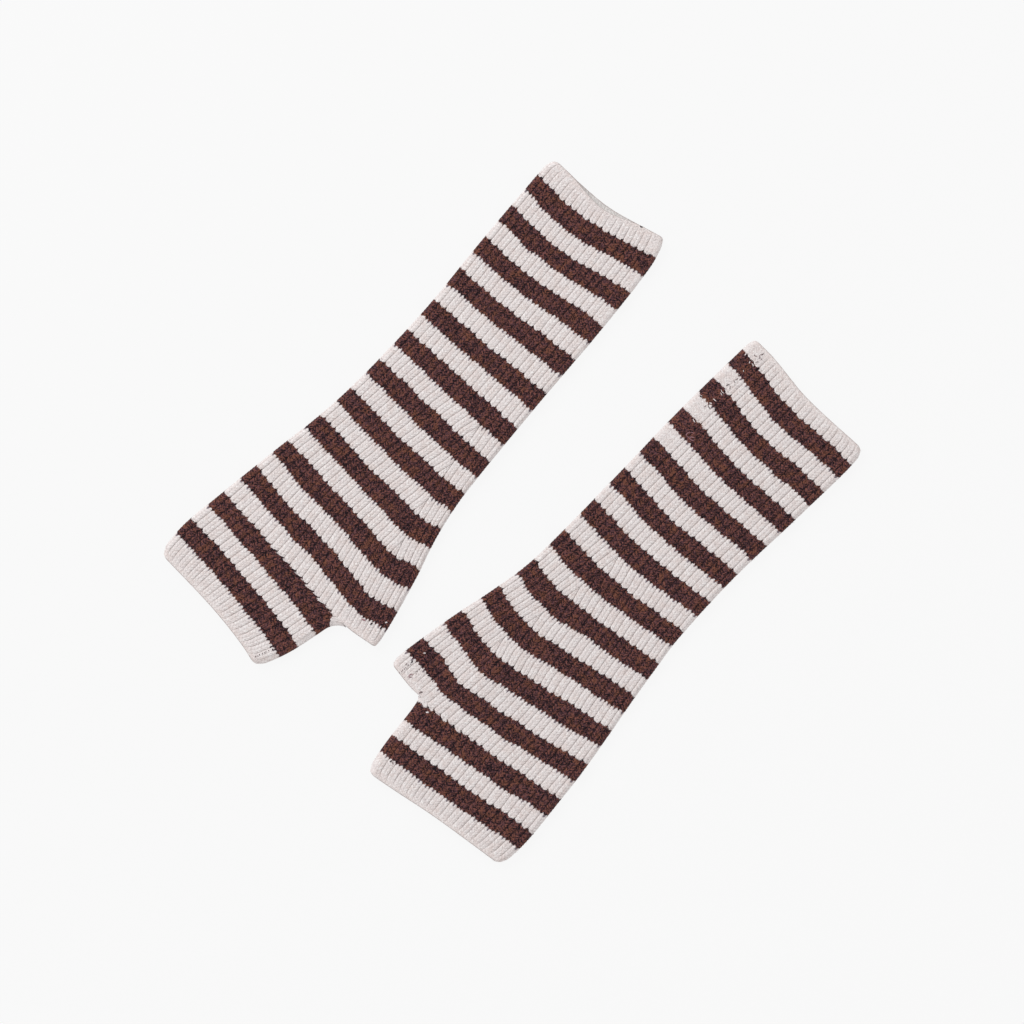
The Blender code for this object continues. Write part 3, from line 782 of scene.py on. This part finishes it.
class Shell:
    """Collects the vertices and faces of one warmer."""

    def __init__(self, warmer):
        self.warmer = warmer
        self.points, self.corners, self.sizes = [], [], []
        self.knit, self.depth, self.map = [], [], []
        self.count = 0

    def place(self, ring):
        """Add a ring's points."""
        ring.first = np.arange(self.count, self.count + len(ring.points))
        self.points.append(ring.points)
        self.count += len(ring.points)
        return ring

    def quads(self, one, two):
        """Fill the band between two closed rings with the same keys."""
        after = np.roll(np.arange(len(one.codes)), -1)

        def at_corners(name):
            low, high = getattr(one, name), getattr(two, name)
            return np.stack((low, low[after], high[after], high), 1)

        self.corners.append(at_corners("first").ravel())
        self.sizes.append(np.full(len(one.codes), 4))
        u = np.stack((one.left, one.right, one.right, one.left), 1)
        self.knit.append(np.stack((u, at_corners("course"), at_corners("edge")), 2).reshape(-1, 3))
        self.depth.append(at_corners("depth").ravel())
        across = at_corners("spread")
        across[-1, 1:3] = 1.0
        self.map.append(np.stack((across, at_corners("level")), 2).reshape(-1, 2))

    def zipped(self, one, two, closed=True, levels=None):
        """Fill the band between two paths with different keys."""
        def stops(path):
            listed = list(zip(range(len(path.codes)), path.codes, path.spread))
            return listed + [(0, END_CODE, 1.0)] if closed else listed

        ones, twos = stops(one), stops(two)
        level_one, level_two = levels or (one.level[0], two.level[0])
        a = b = 0
        while a < len(ones) - 1 or b < len(twos) - 1:
            more_a, more_b = a < len(ones) - 1, b < len(twos) - 1
            step_a = not more_b or (more_a and ones[a + 1][1] <= twos[b + 1][1])
            step_b = not more_a or (more_b and twos[b + 1][1] <= ones[a + 1][1])
            finer, place = (two, twos[b][0]) if step_b else (one, ones[a][0])
            low, high = finer.left[place], finer.right[place]
            face = [(one, ones[a], low, level_one)]
            if step_a:
                face.append((one, ones[a + 1], high, level_one))
            if step_b:
                face.append((two, twos[b + 1], high, level_two))
            face.append((two, twos[b], low, level_two))
            self.sizes.append(np.array([len(face)]))
            self.corners.append(np.array([path.first[stop[0]] for path, stop, _, _ in face]))
            knit = [(u, path.course[stop[0]], path.edge[stop[0]]) for path, stop, u, _ in face]
            self.knit.append(np.array(knit))
            self.depth.append(np.array([path.depth[stop[0]] for path, stop, _, _ in face]))
            self.map.append(np.array([(stop[2], level) for _, stop, _, level in face]))
            a += step_a
            b += step_b

    def band(self, one, two):
        """Fill the band between two closed rings."""
        if len(one.codes) == len(two.codes) and np.array_equal(one.codes, two.codes):
            self.quads(one, two)
        else:
            self.zipped(one, two)

    def surface(self, trunk_rows, finger_rows, make, outside):
        """Add the outside or the inside, and return its open edges."""
        rings = [self.place(make(row)) for row in trunk_rows]
        for one, two in zip(rings[:-1], rings[1:]):
            self.band(one, two)
        last, ring = trunk_rows[-1], rings[-1]
        radius = float(last.wall_radius(last.thumb_distance + RIM_ROUNDING)) if outside else INNER_RADIUS
        keep = slice(None) if outside else FOLD_MIDDLE
        points = last.crotch(radius, 0.0)[keep]
        marks = [mark[keep] for mark in fold_marks(len(FOLD_CODES))]
        start, end = (ring.spread[ring.codes == code][0] for code in (CROTCH_TOP_CODE, CROTCH_UNDER_CODE))
        spread = np.linspace(start, end, len(points) + 2)[1:-1]
        edge = np.maximum(0.0, RIM_END - from_crotch(last, points)) * (1 if outside else -1)
        facts = (edge, FIRST_FOLD_DEPTH, spread, delayed_course(last, points), ring.level[0])
        fold = self.place(Ring(FOLD_CODES[keep], points, *marks, *facts))
        top, under = ring.part(ring.codes == CROTCH_TOP_CODE), ring.part(ring.codes == CROTCH_UNDER_CODE)
        before, after = ring.part(ring.codes <= CROTCH_TOP_CODE), ring.part(ring.codes >= CROTCH_UNDER_CODE)
        thumb = ring.part((ring.codes >= CROTCH_TOP_CODE) & (ring.codes <= CROTCH_UNDER_CODE))
        crotch = joined(top, fold, under)
        fingers = joined(before, fold, after)
        current = fingers
        for row in finger_rows:
            following = self.place(make(row))
            self.band(current, following)
            current = following
        return {"arm": rings[0], "fingers": current, "thumb": thumb, "crotch": crotch}

    def build(self):
        """Make the mesh object."""
        mesh = bpy.data.meshes.new(self.warmer.name)
        points = self.warmer.to_world(np.concatenate(self.points))
        corners, sizes = np.concatenate(self.corners), np.concatenate(self.sizes)
        starts = np.concatenate(([0], np.cumsum(sizes)[:-1]))
        mesh.vertices.add(len(points))
        mesh.vertices.foreach_set("co", points.astype(np.float32).ravel())
        mesh.loops.add(len(corners))
        mesh.loops.foreach_set("vertex_index", corners.astype(np.int32))
        mesh.polygons.add(len(sizes))
        mesh.polygons.foreach_set("loop_start", starts.astype(np.int32))
        mesh.update(calc_edges=True)
        corner_values(mesh, np.concatenate(self.knit), np.concatenate(self.depth), np.concatenate(self.map))
        mesh.polygons.foreach_set("use_smooth", np.ones(len(sizes), bool))
        mesh.validate()
        mesh.update()
        return in_scene(self.warmer.name + "_knit", mesh)


def corner_values(mesh, knit, depth, places):
    """Give a mesh the numbers that the wool material reads, and its places on the texture map."""
    for name, kind, slot, values in (
        ("knit", "FLOAT_VECTOR", "vector", knit),
        ("rib_depth", "FLOAT", "value", depth),
    ):
        layer = mesh.attributes.new(name, kind, "CORNER")
        layer.data.foreach_set(slot, values.astype(np.float32).ravel())
    texture_map = mesh.uv_layers.new(name="OFBake")
    texture_map.data.foreach_set("uv", places.astype(np.float32).ravel())


def in_scene(name, content):
    """Put a mesh, a lamp or a camera into the scene."""
    thing = bpy.data.objects.new(name, content)
    bpy.context.scene.collection.objects.link(thing)
    return thing


def joined(*rings):
    """Join rings or paths end to end, on the same vertices if they have them."""
    whole = Ring(*(np.concatenate([getattr(ring, name) for ring in rings]) for name in RING_PARTS))
    if rings[0].first is not None:
        whole.first = np.concatenate([ring.first for ring in rings])
    return whole


def courses_between(start, end):
    """List evenly spaced rows."""
    count = max(1, round((end - start) * ROWS_A_REPEAT))
    return list(np.linspace(start, end, count + 1))


def build_warmer(warmer):
    """Knit one warmer as a closed wall."""
    extra = [distance / REPEAT for distance in EXTRA_RIM_ROWS]
    arm, fingers = warmer.trunk[0, 0], warmer.fingers[-1, 0]
    trunk = courses_between(arm, THUMB_COURSE)
    trunk = sorted(trunk + [arm + x for x in extra] + [THUMB_COURSE - x for x in extra])
    finger = sorted(courses_between(THUMB_COURSE, fingers)[1:] + [fingers - x for x in extra])
    trunk_rows = [Row(warmer, course, False) for course in trunk]
    finger_rows = [Row(warmer, course, True) for course in finger]
    shell = Shell(warmer)
    outer = shell.surface(trunk_rows, finger_rows, outer_ring, True)
    inside_trunk = trunk_rows[:-1:INNER_ROW_STEP] + trunk_rows[-1:]
    inside_fingers = finger_rows[INNER_ROW_STEP:INNER_ROWS_END:INNER_ROW_STEP] + finger_rows[-1:]
    outer_faces = sum(len(x) for x in shell.sizes)
    inner = shell.surface(inside_trunk, inside_fingers, inner_ring, False)
    # The inside faces the other way round, so its corners run backwards
    turned = 0
    for index, (corners, sizes) in enumerate(zip(shell.corners, shell.sizes)):
        turned += len(sizes)
        if turned > outer_faces:
            starts = np.concatenate(([0], np.cumsum(sizes)))
            order = np.concatenate([np.arange(b - 1, a - 1, -1) for a, b in zip(starts[:-1], starts[1:])])
            for parts in (shell.corners, shell.knit, shell.depth, shell.map):
                parts[index] = parts[index][order]
    shell.zipped(inner["arm"], outer["arm"], levels=MAP_ARM_RIM[::-1])
    shell.zipped(outer["fingers"], inner["fingers"], levels=MAP_FINGER_RIM)
    shell.zipped(outer["thumb"], inner["thumb"], closed=False, levels=MAP_THUMB_RIM)
    shell.zipped(inner["crotch"], outer["crotch"], closed=False, levels=MAP_CROTCH_RIM[::-1])
    return shell.build()


def add_node(tree, kind, *values, slots=None, **settings):
    """Add a shader node with its settings, and link or set its inputs, by name or in order."""
    node = tree.nodes.new("ShaderNode" + kind)
    for name, setting in settings.items():
        setattr(node, name, setting)
    for slot, value in zip(slots or range(len(values)), values):
        if isinstance(value, Signal):
            value = value.socket
        if isinstance(value, bpy.types.NodeSocket):
            tree.links.new(value, node.inputs[slot])
        else:
            node.inputs[slot].default_value = (*value, 1.0) if isinstance(value, tuple) else value
    return node


def math_node(operation, turned=False):
    """Make a method that adds one math node and gives its result."""
    def method(self, *others):
        values = (*others, self) if turned else (self, *others)
        node = add_node(self.tree, "Math", *values, operation=operation)
        return Signal(self.tree, node.outputs[0])

    return method


class Signal:
    """A value in a node tree that can be reckoned with in plain formulas."""

    __add__ = math_node("ADD")
    __sub__ = math_node("SUBTRACT")
    __rsub__ = math_node("SUBTRACT", turned=True)
    __mul__ = math_node("MULTIPLY")
    power = math_node("POWER")
    absolute = math_node("ABSOLUTE")
    cosine = math_node("COSINE")
    fraction = math_node("FRACT")
    whole = math_node("FLOOR")
    least = math_node("MINIMUM")
    most = math_node("MAXIMUM")

    def __init__(self, tree, socket):
        self.tree, self.socket = tree, socket

    def step(self, start, end, low=0.0, high=1.0):
        """Rise softly from low to high between start and end."""
        values, kind = (self, start, end, low, high), "SMOOTHSTEP"
        node = add_node(self.tree, "MapRange", *values, interpolation_type=kind)
        return Signal(self.tree, node.outputs[0])


class Look:
    """A material with its node tree."""

    def __init__(self, name, values):
        self.material = bpy.data.materials.new(name)
        self.material.use_nodes = True
        self.tree = self.material.node_tree
        self.shader = self.tree.nodes["Principled BSDF"]
        for slot, value in values.items():
            self.shader.inputs[slot].default_value = value

    def give(self, slot, socket):
        """Link a result to the shader."""
        self.tree.links.new(socket, self.shader.inputs[slot])

    def attribute(self, name):
        """Read a value that the mesh carries."""
        return add_node(self.tree, "Attribute", attribute_name=name)

    def split(self, vector):
        node = add_node(self.tree, "SeparateXYZ", vector)
        return [Signal(self.tree, output) for output in node.outputs]

    def vector(self, *values):
        return add_node(self.tree, "CombineXYZ", *values).outputs[0]

    def place(self):
        return add_node(self.tree, "TexCoord").outputs["Object"]

    def noise(self, vector, scale, detail=2.0, roughness=0.5):
        values, slots = (vector, scale, detail, roughness), ("Vector", "Scale", "Detail", "Roughness")
        return Signal(self.tree, add_node(self.tree, "TexNoise", *values, slots=slots).outputs["Fac"])

    def random(self, vector):
        node = add_node(self.tree, "TexWhiteNoise", vector, slots=("Vector",))
        return Signal(self.tree, node.outputs["Value"])

    def mix(self, factor, first, second):
        values, slots = (factor, first, second), (0, 6, 7)
        return add_node(self.tree, "Mix", *values, slots=slots, data_type="RGBA").outputs[2]

    def layers(self, colour, *coats):
        """Lay coats (factor, colour) over a colour, one after another."""
        for factor, coat in coats:
            colour = self.mix(factor, colour, coat)
        return colour

    def bump(self, height, distance, strength):
        slots = ("Height", "Distance", "Strength")
        node = add_node(self.tree, "Bump", height, distance, strength, slots=slots)
        self.give("Normal", node.outputs[0])


class Wool(Look):
    """The striped ribbed wool: yarn colours, stripe edges that follow the stitches, nap, and
    painted shade in rib valleys, stitch gaps, small holes, along the rims and inside the tube.
    """

    def __init__(self):
        super().__init__("striped_wool", {**DULL, "Sheen Weight": 0.06, "Sheen Roughness": 0.6})
        u, self.course, self.edge = self.split(self.attribute("knit").outputs["Vector"])
        self.depth = Signal(self.tree, self.attribute("rib_depth").outputs["Fac"])
        place = self.place()
        phase, self.rib = u.fraction(), u.whole()
        self.side = phase.step(0.49, 0.51)
        self.half = (phase - 0.5).absolute() * 2
        self.grain = self.noise(place, GRAIN_NOISE, 0.0) - 0.5
        self.fuzz = self.noise(place, FUZZ_NOISE, 1.0) - 0.5
        self.blotch = self.noise(place, BLOTCH_NOISE, 3.0, 0.6)
        self.hue = self.noise(place, HUE_NOISE, 1.0)
        self.stripe = (self.course + 0.5).whole()
        self.offset = (self.course + 0.5).fraction() - 0.5
        self.lot = self.random(self.vector(self.rib, self.stripe, 0.0)) - 0.5
        self.stitches()
        brown = self.stripes()
        # Painted shade in the rib valleys and small holes darkens the cream and the brown
        valley_shade, hole_shade, snag = self.creases()
        colour = self.mix(brown, self.cream(valley_shade.most(hole_shade), snag), self.brown(valley_shade))
        # Painted shade that deepens inside the tube, away from its openings
        colour = self.mix(self.edge.step(*INSIDE_SHADE_FADE) * 0.30, colour, CREAM_PAINTED_SHADE)
        self.give("Base Color", colour)
        self.bump(self.grain * 1.1 + self.fuzz * 0.8 + self.strands * 0.6 - self.gap * 0.5, *WOOL_BUMP)

    def stitches(self):
        """Single stitches: V shapes that point to the fingers, each leg with its own tone, and the gaps
        between them, which the colour darkens as painted shade.
        """
        half, rib = self.half, self.rib
        jog = self.random(self.vector(rib, 3.0, 0.0)) * 0.5 + self.fuzz * 0.35
        slant = self.course * STITCHES_A_REPEAT + half + jog
        self.leg = self.random(self.vector(rib * 2 + self.side, slant.whole(), 7.0)) - 0.5
        # The gaps between stitches: the bump lowers them and the colour darkens them as painted shade
        self.gap = ((slant * (2 * math.pi)).cosine() * 0.5 + 0.5).power(2.0)
        strand_place = self.vector(half * 6 + rib * 3.7, slant * 1.1, 0.0)
        self.strands = self.noise(strand_place, 1.5, 1.5, 0.6) - 0.5
        fleck_place = self.vector(half * 1.5 + rib * 5.3, slant * 3.4, self.side * 9)
        self.fleck = self.noise(fleck_place, 1.0, 1.0) - 0.5

    def stripes(self):
        """Brown stripes, with round cream tips towards the fingers and twin teeth towards the arm."""
        half, lot, fuzz = self.half, self.lot, self.fuzz
        tip = (1 - half.power(2.0)).power(0.5)
        low = tip * (self.depth * 0.088) - self.depth * 0.070 - STRIPE_EDGE
        self.low = low + lot * 0.042 + fuzz * 0.09
        tooth = self.random(self.vector(self.rib * 2 + self.side, self.stripe, 5.0)) - 0.5
        high = (half * (2 * math.pi)).cosine() * 0.018 + half * 0.012 + STRIPE_EDGE
        self.high = high - lot * 0.030 + fuzz * 0.08 + tooth * 0.034
        brown = self.offset.step(self.low - EDGE_SOFTNESS, self.low + EDGE_SOFTNESS)
        brown = brown * self.offset.step(self.high - EDGE_SOFTNESS, self.high + EDGE_SOFTNESS, 1.0, 0.0)
        brown = brown * self.course.step(0.49, 0.5) * self.course.step(13.5, 13.51, 1.0, 0.0)
        # The thumb edge ends before stripe 12
        return brown * self.edge.absolute().step(*THUMB_EDGE_FADE)

    def creases(self):
        """Painted shade in the valleys between ribs, weaker along their middles, and in small holes
        before the stripes; dark snags just beyond the stripes.
        """
        broken = (self.strands * 2.2 + self.fuzz * 1.5 + 0.85).least(1.0).most(0.0)
        # Painted shade in the rib valleys and in the grooves along the rib middles
        lines = self.half.step(0.80, 1.0) * 0.68 + self.half.step(0.17, 0.0) * 0.25
        valley_shade = lines * broken * self.depth
        beyond = (self.offset - self.high - 0.022).absolute().step(0.034, 0.014)
        before = (self.offset - self.low + 0.050).absolute().step(0.028, 0.008)
        middle = self.half.step(0.36, 0.12) * self.depth
        # Painted shade in small holes just before a stripe
        hole_shade = before * middle * (self.lot * 3.7).fraction().step(0.50, 0.60) * 0.40
        snag = beyond * middle * (self.lot * 5.3).fraction().step(0.30, 0.40) * 0.85
        return valley_shade, hole_shade, snag

    def cream(self, shade_places, snag):
        """Cream yarn, warmer in blotches and near a rim, with light and shaded strands, and painted
        shade in the gaps between stitches, in the rib valleys, in small holes and in a broken line
        along the rims.
        """
        rim = self.edge.absolute().step(3.0, 1.0)
        # Random tone of the stitch legs and strands, darkened by painted shade in the gaps between stitches
        tone_and_gap_shade = self.leg * 0.34 + self.strands * 0.6 - self.gap * 0.22
        tone = self.grain * 1.5 + tone_and_gap_shade * (1 - rim * 0.6) + 0.16
        return self.layers(
            CREAM,
            (self.blotch.step(0.40, 0.70) * 0.65, CREAM_WARM),
            (rim * 0.35, CREAM_WARM),
            (tone.step(0.0, 0.9), CREAM_LIGHT),
            (tone.step(0.0, -0.9), CREAM_SHADE),
            (self.edge.step(-0.1, -0.5) * 0.8, CREAM_INSIDE),
            # Painted shade of the rib valleys and small holes
            (shade_places, CREAM_PAINTED_SHADE),
            (snag, HOLE),
            # A broken painted shadow line along the rims
            (self.edge.absolute().step(0.5, 0.2) * (self.blotch * 0.9), CREAM_PAINTED_SHADE),
        )

    def brown(self, valley_shade):
        """Brown yarn: dark strands and lighter ones of three hues, with painted shade in the gaps
        between stitches, towards the rib valleys and in the valleys themselves.
        """
        hues = (self.hue.step(0.42, 0.60), BROWN_RED), (self.blotch.step(0.48, 0.64), BROWN_RUST)
        light = self.layers(BROWN_PLUM, *hues)
        # Random tones of the brown, darkened by painted shade in the gaps between stitches
        share = self.grain * 1.5 + self.fuzz * 2.3 + self.fleck * 3.4 + self.leg * 0.42 - self.gap * 0.36
        # Painted shade: the brown grows darker towards the rib valleys
        share = share - self.half.power(3.0) * self.depth * 0.34 + self.blotch * 0.9 + 0.24
        # The last coat is painted shade in the rib valleys and along their middles
        return self.layers(BROWN_DARK, (share.least(1.0).most(0.0), light), (valley_shade * 1.05, BROWN_DARK))


def yarn_look(name, colour, shade):
    """A loose bit of plain yarn."""
    look = Look(name, DULL)
    grain = look.noise(look.place(), YARN_NOISE, 1.0)
    look.give("Base Color", look.mix(grain.step(0.35, 0.65), shade, colour))
    look.bump(grain, *YARN_BUMP)
    return look.material


class LooseYarn:
    """Collects strands of loose yarn that lie on one knit."""

    colours = [name.removesuffix("_yarn") for name, _, _ in YARNS]

    def __init__(self, knit, seed):
        self.tree = BVHTree.FromObject(knit, bpy.context.evaluated_depsgraph_get())
        self.random = np.random.default_rng(seed)
        self.points, self.faces, self.looks = [], [], []

    def height(self, x, y):
        """Find the height of the knit at a place, in millimetres."""
        spot = self.tree.ray_cast(Vector((x * MM, y * MM, 1.0)), Vector((0, 0, -1)))[0]
        return spot.z / MM if spot else OUTER_RADIUS

    def strand(self, colour, path, width):
        """Lay a round strand with thin ends along a path on the knit."""
        path = np.array(path)
        level = np.mean([self.height(x, y) for x, y in path])
        first, count = len(self.points), len(path)
        tangents = np.gradient(path, axis=0)
        tangents /= np.linalg.norm(tangents, axis=1)[:, None]
        for index, ((x, y), (ahead, aside)) in enumerate(zip(path, tangents)):
            radius = width / 2 * math.sin(math.pi * (index + 0.35) / (count - 0.3)) ** 0.5
            height = self.height(x, y)
            base = max(height, 0.5 * (height + level)) + STRAND_LIFT * width
            for side in range(STRAND_SIDES):
                angle = 2 * math.pi * side / STRAND_SIDES
                out, up = radius * math.cos(angle), radius * math.sin(angle)
                self.points.append((x - aside * out, y + ahead * out, base + up))
        rings = np.arange(first, first + count * STRAND_SIDES).reshape(count, STRAND_SIDES).tolist()
        faces = [rings[0], rings[-1][::-1]]
        for one, two in zip(rings[:-1], rings[1:]):
            for side in range(STRAND_SIDES):
                after = (side + 1) % STRAND_SIDES
                faces.append([one[side], two[side], two[after], one[after]])
        self.faces += faces
        self.looks += [self.colours.index(colour)] * len(faces)

    def bit(self, colour, x, y, length, width, turn):
        """Lay a short bent strand round a place."""
        turn = math.radians(turn)
        bend = self.random.uniform(-BIT_BEND, BIT_BEND)
        part = np.linspace(-0.5, 0.5, BIT_POINTS)
        ahead, aside = part * length, bend * length * (1 - 4 * part**2)
        across = math.cos(turn) * ahead - math.sin(turn) * aside
        along = math.sin(turn) * ahead + math.cos(turn) * aside
        self.strand(colour, np.stack((x + across, y + along), 1), width)

    def loop(self, colour, x, y, radius):
        """Lay an uneven ring of thin yarn."""
        angles = np.linspace(*LOOP_ANGLES, LOOP_POINTS)
        reach = radius * (1 + LOOP_WAVE * np.sin(2 * angles + x))
        path = np.stack((x + reach * np.cos(angles), y + LOOP_FLATNESS * reach * np.sin(angles)), 1)
        self.strand(colour, path, LOOP_WIDTH)

    def row(self, colour, start, end, count):
        """Lay a row of small linking stitches."""
        start, end = np.array(start), np.array(end)
        turn = math.degrees(math.atan2(end[1] - start[1], end[0] - start[0]))
        for part in np.linspace(0, 1, count):
            x, y = start + (end - start) * part + self.random.normal(0, LINK_STRAY, 2)
            length = self.random.uniform(*LINK_LENGTHS)
            self.bit(colour, x, y, length, LINK_WIDTH, turn + self.random.normal(*LINK_TURN))

    def build(self, name, materials):
        """Make the mesh object."""
        mesh = bpy.data.meshes.new(name)
        mesh.from_pydata([Vector(point) * MM for point in self.points], [], self.faces)
        for material in materials:
            mesh.materials.append(material)
        mesh.polygons.foreach_set("material_index", self.looks)
        mesh.polygons.foreach_set("use_smooth", [True] * len(self.faces))
        return in_scene(name, mesh)


def loose_yarn(knit, warmer, materials):
    """Lay the loose bits, snags and linking stitches of one warmer."""
    yarn = LooseYarn(knit, warmer.seed + 2)
    for bit in warmer.bits:
        yarn.bit(*bit)
    for loop in warmer.loops:
        yarn.loop(*loop)
    for row in warmer.stitch_rows:
        yarn.row(*row)
    return yarn.build(warmer.name + "_loose_yarn", materials)


def read(items, name, width=1):
    """Read a value of all faces or all face corners of a mesh."""
    values = np.empty(len(items) * width)
    items.foreach_get(name, values)
    return values.reshape(-1, width)


def fibre_map():
    """Give the texture places of one fibre's face corners: its three sides next to each other."""
    places = [(0.0, 0.0), (1.0, 0.0), (0.5, 0.0)]
    for low, high in ((0.0, 0.4), (0.4, 0.8)):
        for side in range(3):
            left, right = side / 3, (side + 1) / 3
            places += [(left, low), (right, low), (right, high), (left, high)]
    for side in range(3):
        places += [(side / 3, 0.8), ((side + 1) / 3, 0.8), ((side + 0.5) / 3, 1.0)]
    return places


def fibres(knit, warmer, wool):
    """Grow short fibres out of the raised side of a knit, each in the colour of its root."""
    random = np.random.default_rng(warmer.seed + 3)
    mesh, faces = knit.data, knit.data.polygons
    centres, normals, areas = read(faces, "center", 3), read(faces, "normal", 3), read(faces, "area")[:, 0]
    starts = np.array([face.loop_start for face in faces])
    places = read(mesh.attributes["knit"].data, "vector", 3)[starts]
    depths = read(mesh.attributes["rib_depth"].data, "value")[starts]
    weight = areas * (places[:, 2] > 0.1) * (normals[:, 2] > -0.2)
    chosen = random.choice(len(faces), FIBRES, replace=False, p=weight / weight.sum())
    root, normal = centres[chosen], normals[chosen]
    lean = np.cross(normal, random.normal(size=(FIBRES, 3)))
    lean /= np.linalg.norm(lean, axis=1)[:, None]
    bend = np.cross(normal, lean)
    length = FIBRE_LENGTH * MM * random.uniform(*FIBRE_LENGTHS, (FIBRES, 1))
    rise, curl = random.uniform(*FIBRE_RISES, (FIBRES, 1)), random.normal(0.0, FIBRE_CURL, (FIBRES, 1))
    points = []
    for part, size in FIBRE_RINGS:
        lift = normal * rise * (part * 1.6 - 0.9 * part * part)
        spine = root + length * (lean * part + bend * curl * part * part + lift)
        spine[:, 2] = np.maximum(spine[:, 2], FIBRE_WIDTH * MM)
        if size == 0.0:
            points.append(spine[:, None])
            continue
        for angle in np.arange(3) * 2 * math.pi / 3:
            out = math.cos(angle) * bend + math.sin(angle) * normal
            points.append((spine + out * FIBRE_WIDTH * MM / 2 * size)[:, None])
    points = np.concatenate(points, 1)
    pattern = [(0, 2, 1)]
    for ring in (0, 3):
        pattern += [(ring + a, ring + b, ring + b + 3, ring + a + 3) for a, b in FIBRE_SIDES]
    pattern += [(6 + a, 6 + b, 9) for a, b in FIBRE_SIDES]
    shape = bpy.data.meshes.new(warmer.name + "_fibres")
    corners = [[10 * fibre + index for index in face] for fibre in range(FIBRES) for face in pattern]
    shape.from_pydata(points.reshape(-1, 3), [], corners)
    per_fibre = sum(len(face) for face in pattern)
    cells = math.ceil(FIBRES**0.5)
    cell = np.stack(np.divmod(np.arange(FIBRES), cells), 1)[:, None]
    flat = (cell + (1 - CELL_FILL) / 2 + CELL_FILL * np.array(fibre_map())[None]) / cells
    knit_places, knit_depths = (np.repeat(values[chosen], per_fibre, 0) for values in (places, depths))
    corner_values(shape, knit_places, knit_depths, flat)
    shape.materials.append(wool)
    return in_scene(shape.name, shape)


def floor():
    """A plain pale floor."""
    glow = {"Emission Color": (1, 1, 1, 1), "Emission Strength": FLOOR_GLOW}
    look = Look("pale_floor", {"Roughness": 0.9, "Specular IOR Level": 0.0, **glow})
    look.give("Base Color", look.mix(look.noise(look.place(), FLOOR_NOISE), *FLOOR_TONES))
    mesh = bpy.data.meshes.new("floor")
    corners = [(x * FLOOR_HALF, y * FLOOR_HALF, 0) for x, y in ((-1, -1), (1, -1), (1, 1), (-1, 1))]
    mesh.from_pydata(corners, [], [(0, 1, 2, 3)])
    mesh.materials.append(look.material)
    plane = in_scene("floor", mesh)
    plane.location.z = FLOOR_HEIGHT


def light_and_camera():
    """Soft light from all round with a large lamp from the upper left, and the camera above."""
    scene = bpy.context.scene
    scene.view_settings.view_transform = "Standard"
    scene.view_settings.look = "None"
    world = bpy.data.worlds.new("soft_light")
    world.use_nodes = True
    world.node_tree.nodes["Background"].inputs["Color"].default_value = (1, 1, 1, 1)
    world.node_tree.nodes["Background"].inputs["Strength"].default_value = WORLD_STRENGTH
    scene.world = world
    lamp = bpy.data.lights.new("window", "AREA")
    lamp.energy = LAMP_ENERGY
    lamp.size = LAMP_SIZE
    thing = in_scene("window", lamp)
    thing.location = LAMP_PLACE
    thing.rotation_euler = (-Vector(LAMP_PLACE)).to_track_quat("-Z", "Y").to_euler()
    camera = bpy.data.cameras.new("camera")
    camera.sensor_width = SENSOR
    camera.lens = SENSOR * (CAMERA_HEIGHT - CLOTH_MIDDLE_HEIGHT) / PHOTO_WIDTH
    camera.clip_end = CAMERA_REACH
    thing = in_scene("camera", camera)
    thing.location = (0, 0, CAMERA_HEIGHT)
    scene.camera = thing


def plain(box):
    return [list(corner) for corner in box]


def main():
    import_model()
    light_and_camera()
    floor()
    wool = Wool().material
    yarns = [yarn_look(*yarn) for yarn in YARNS]
    for side in (1, 2):
        warmer = Warmer({fact[0]: fact[side] for fact in WARMER_FACTS})
        knit = build_warmer(warmer)
        knit.data.materials.append(wool)
        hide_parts(warmer.name)
        loose = (loose_yarn(knit, warmer, yarns), fibres(knit, warmer, wool))
        for piece in (knit, *loose):
            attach(piece, "root")


main()
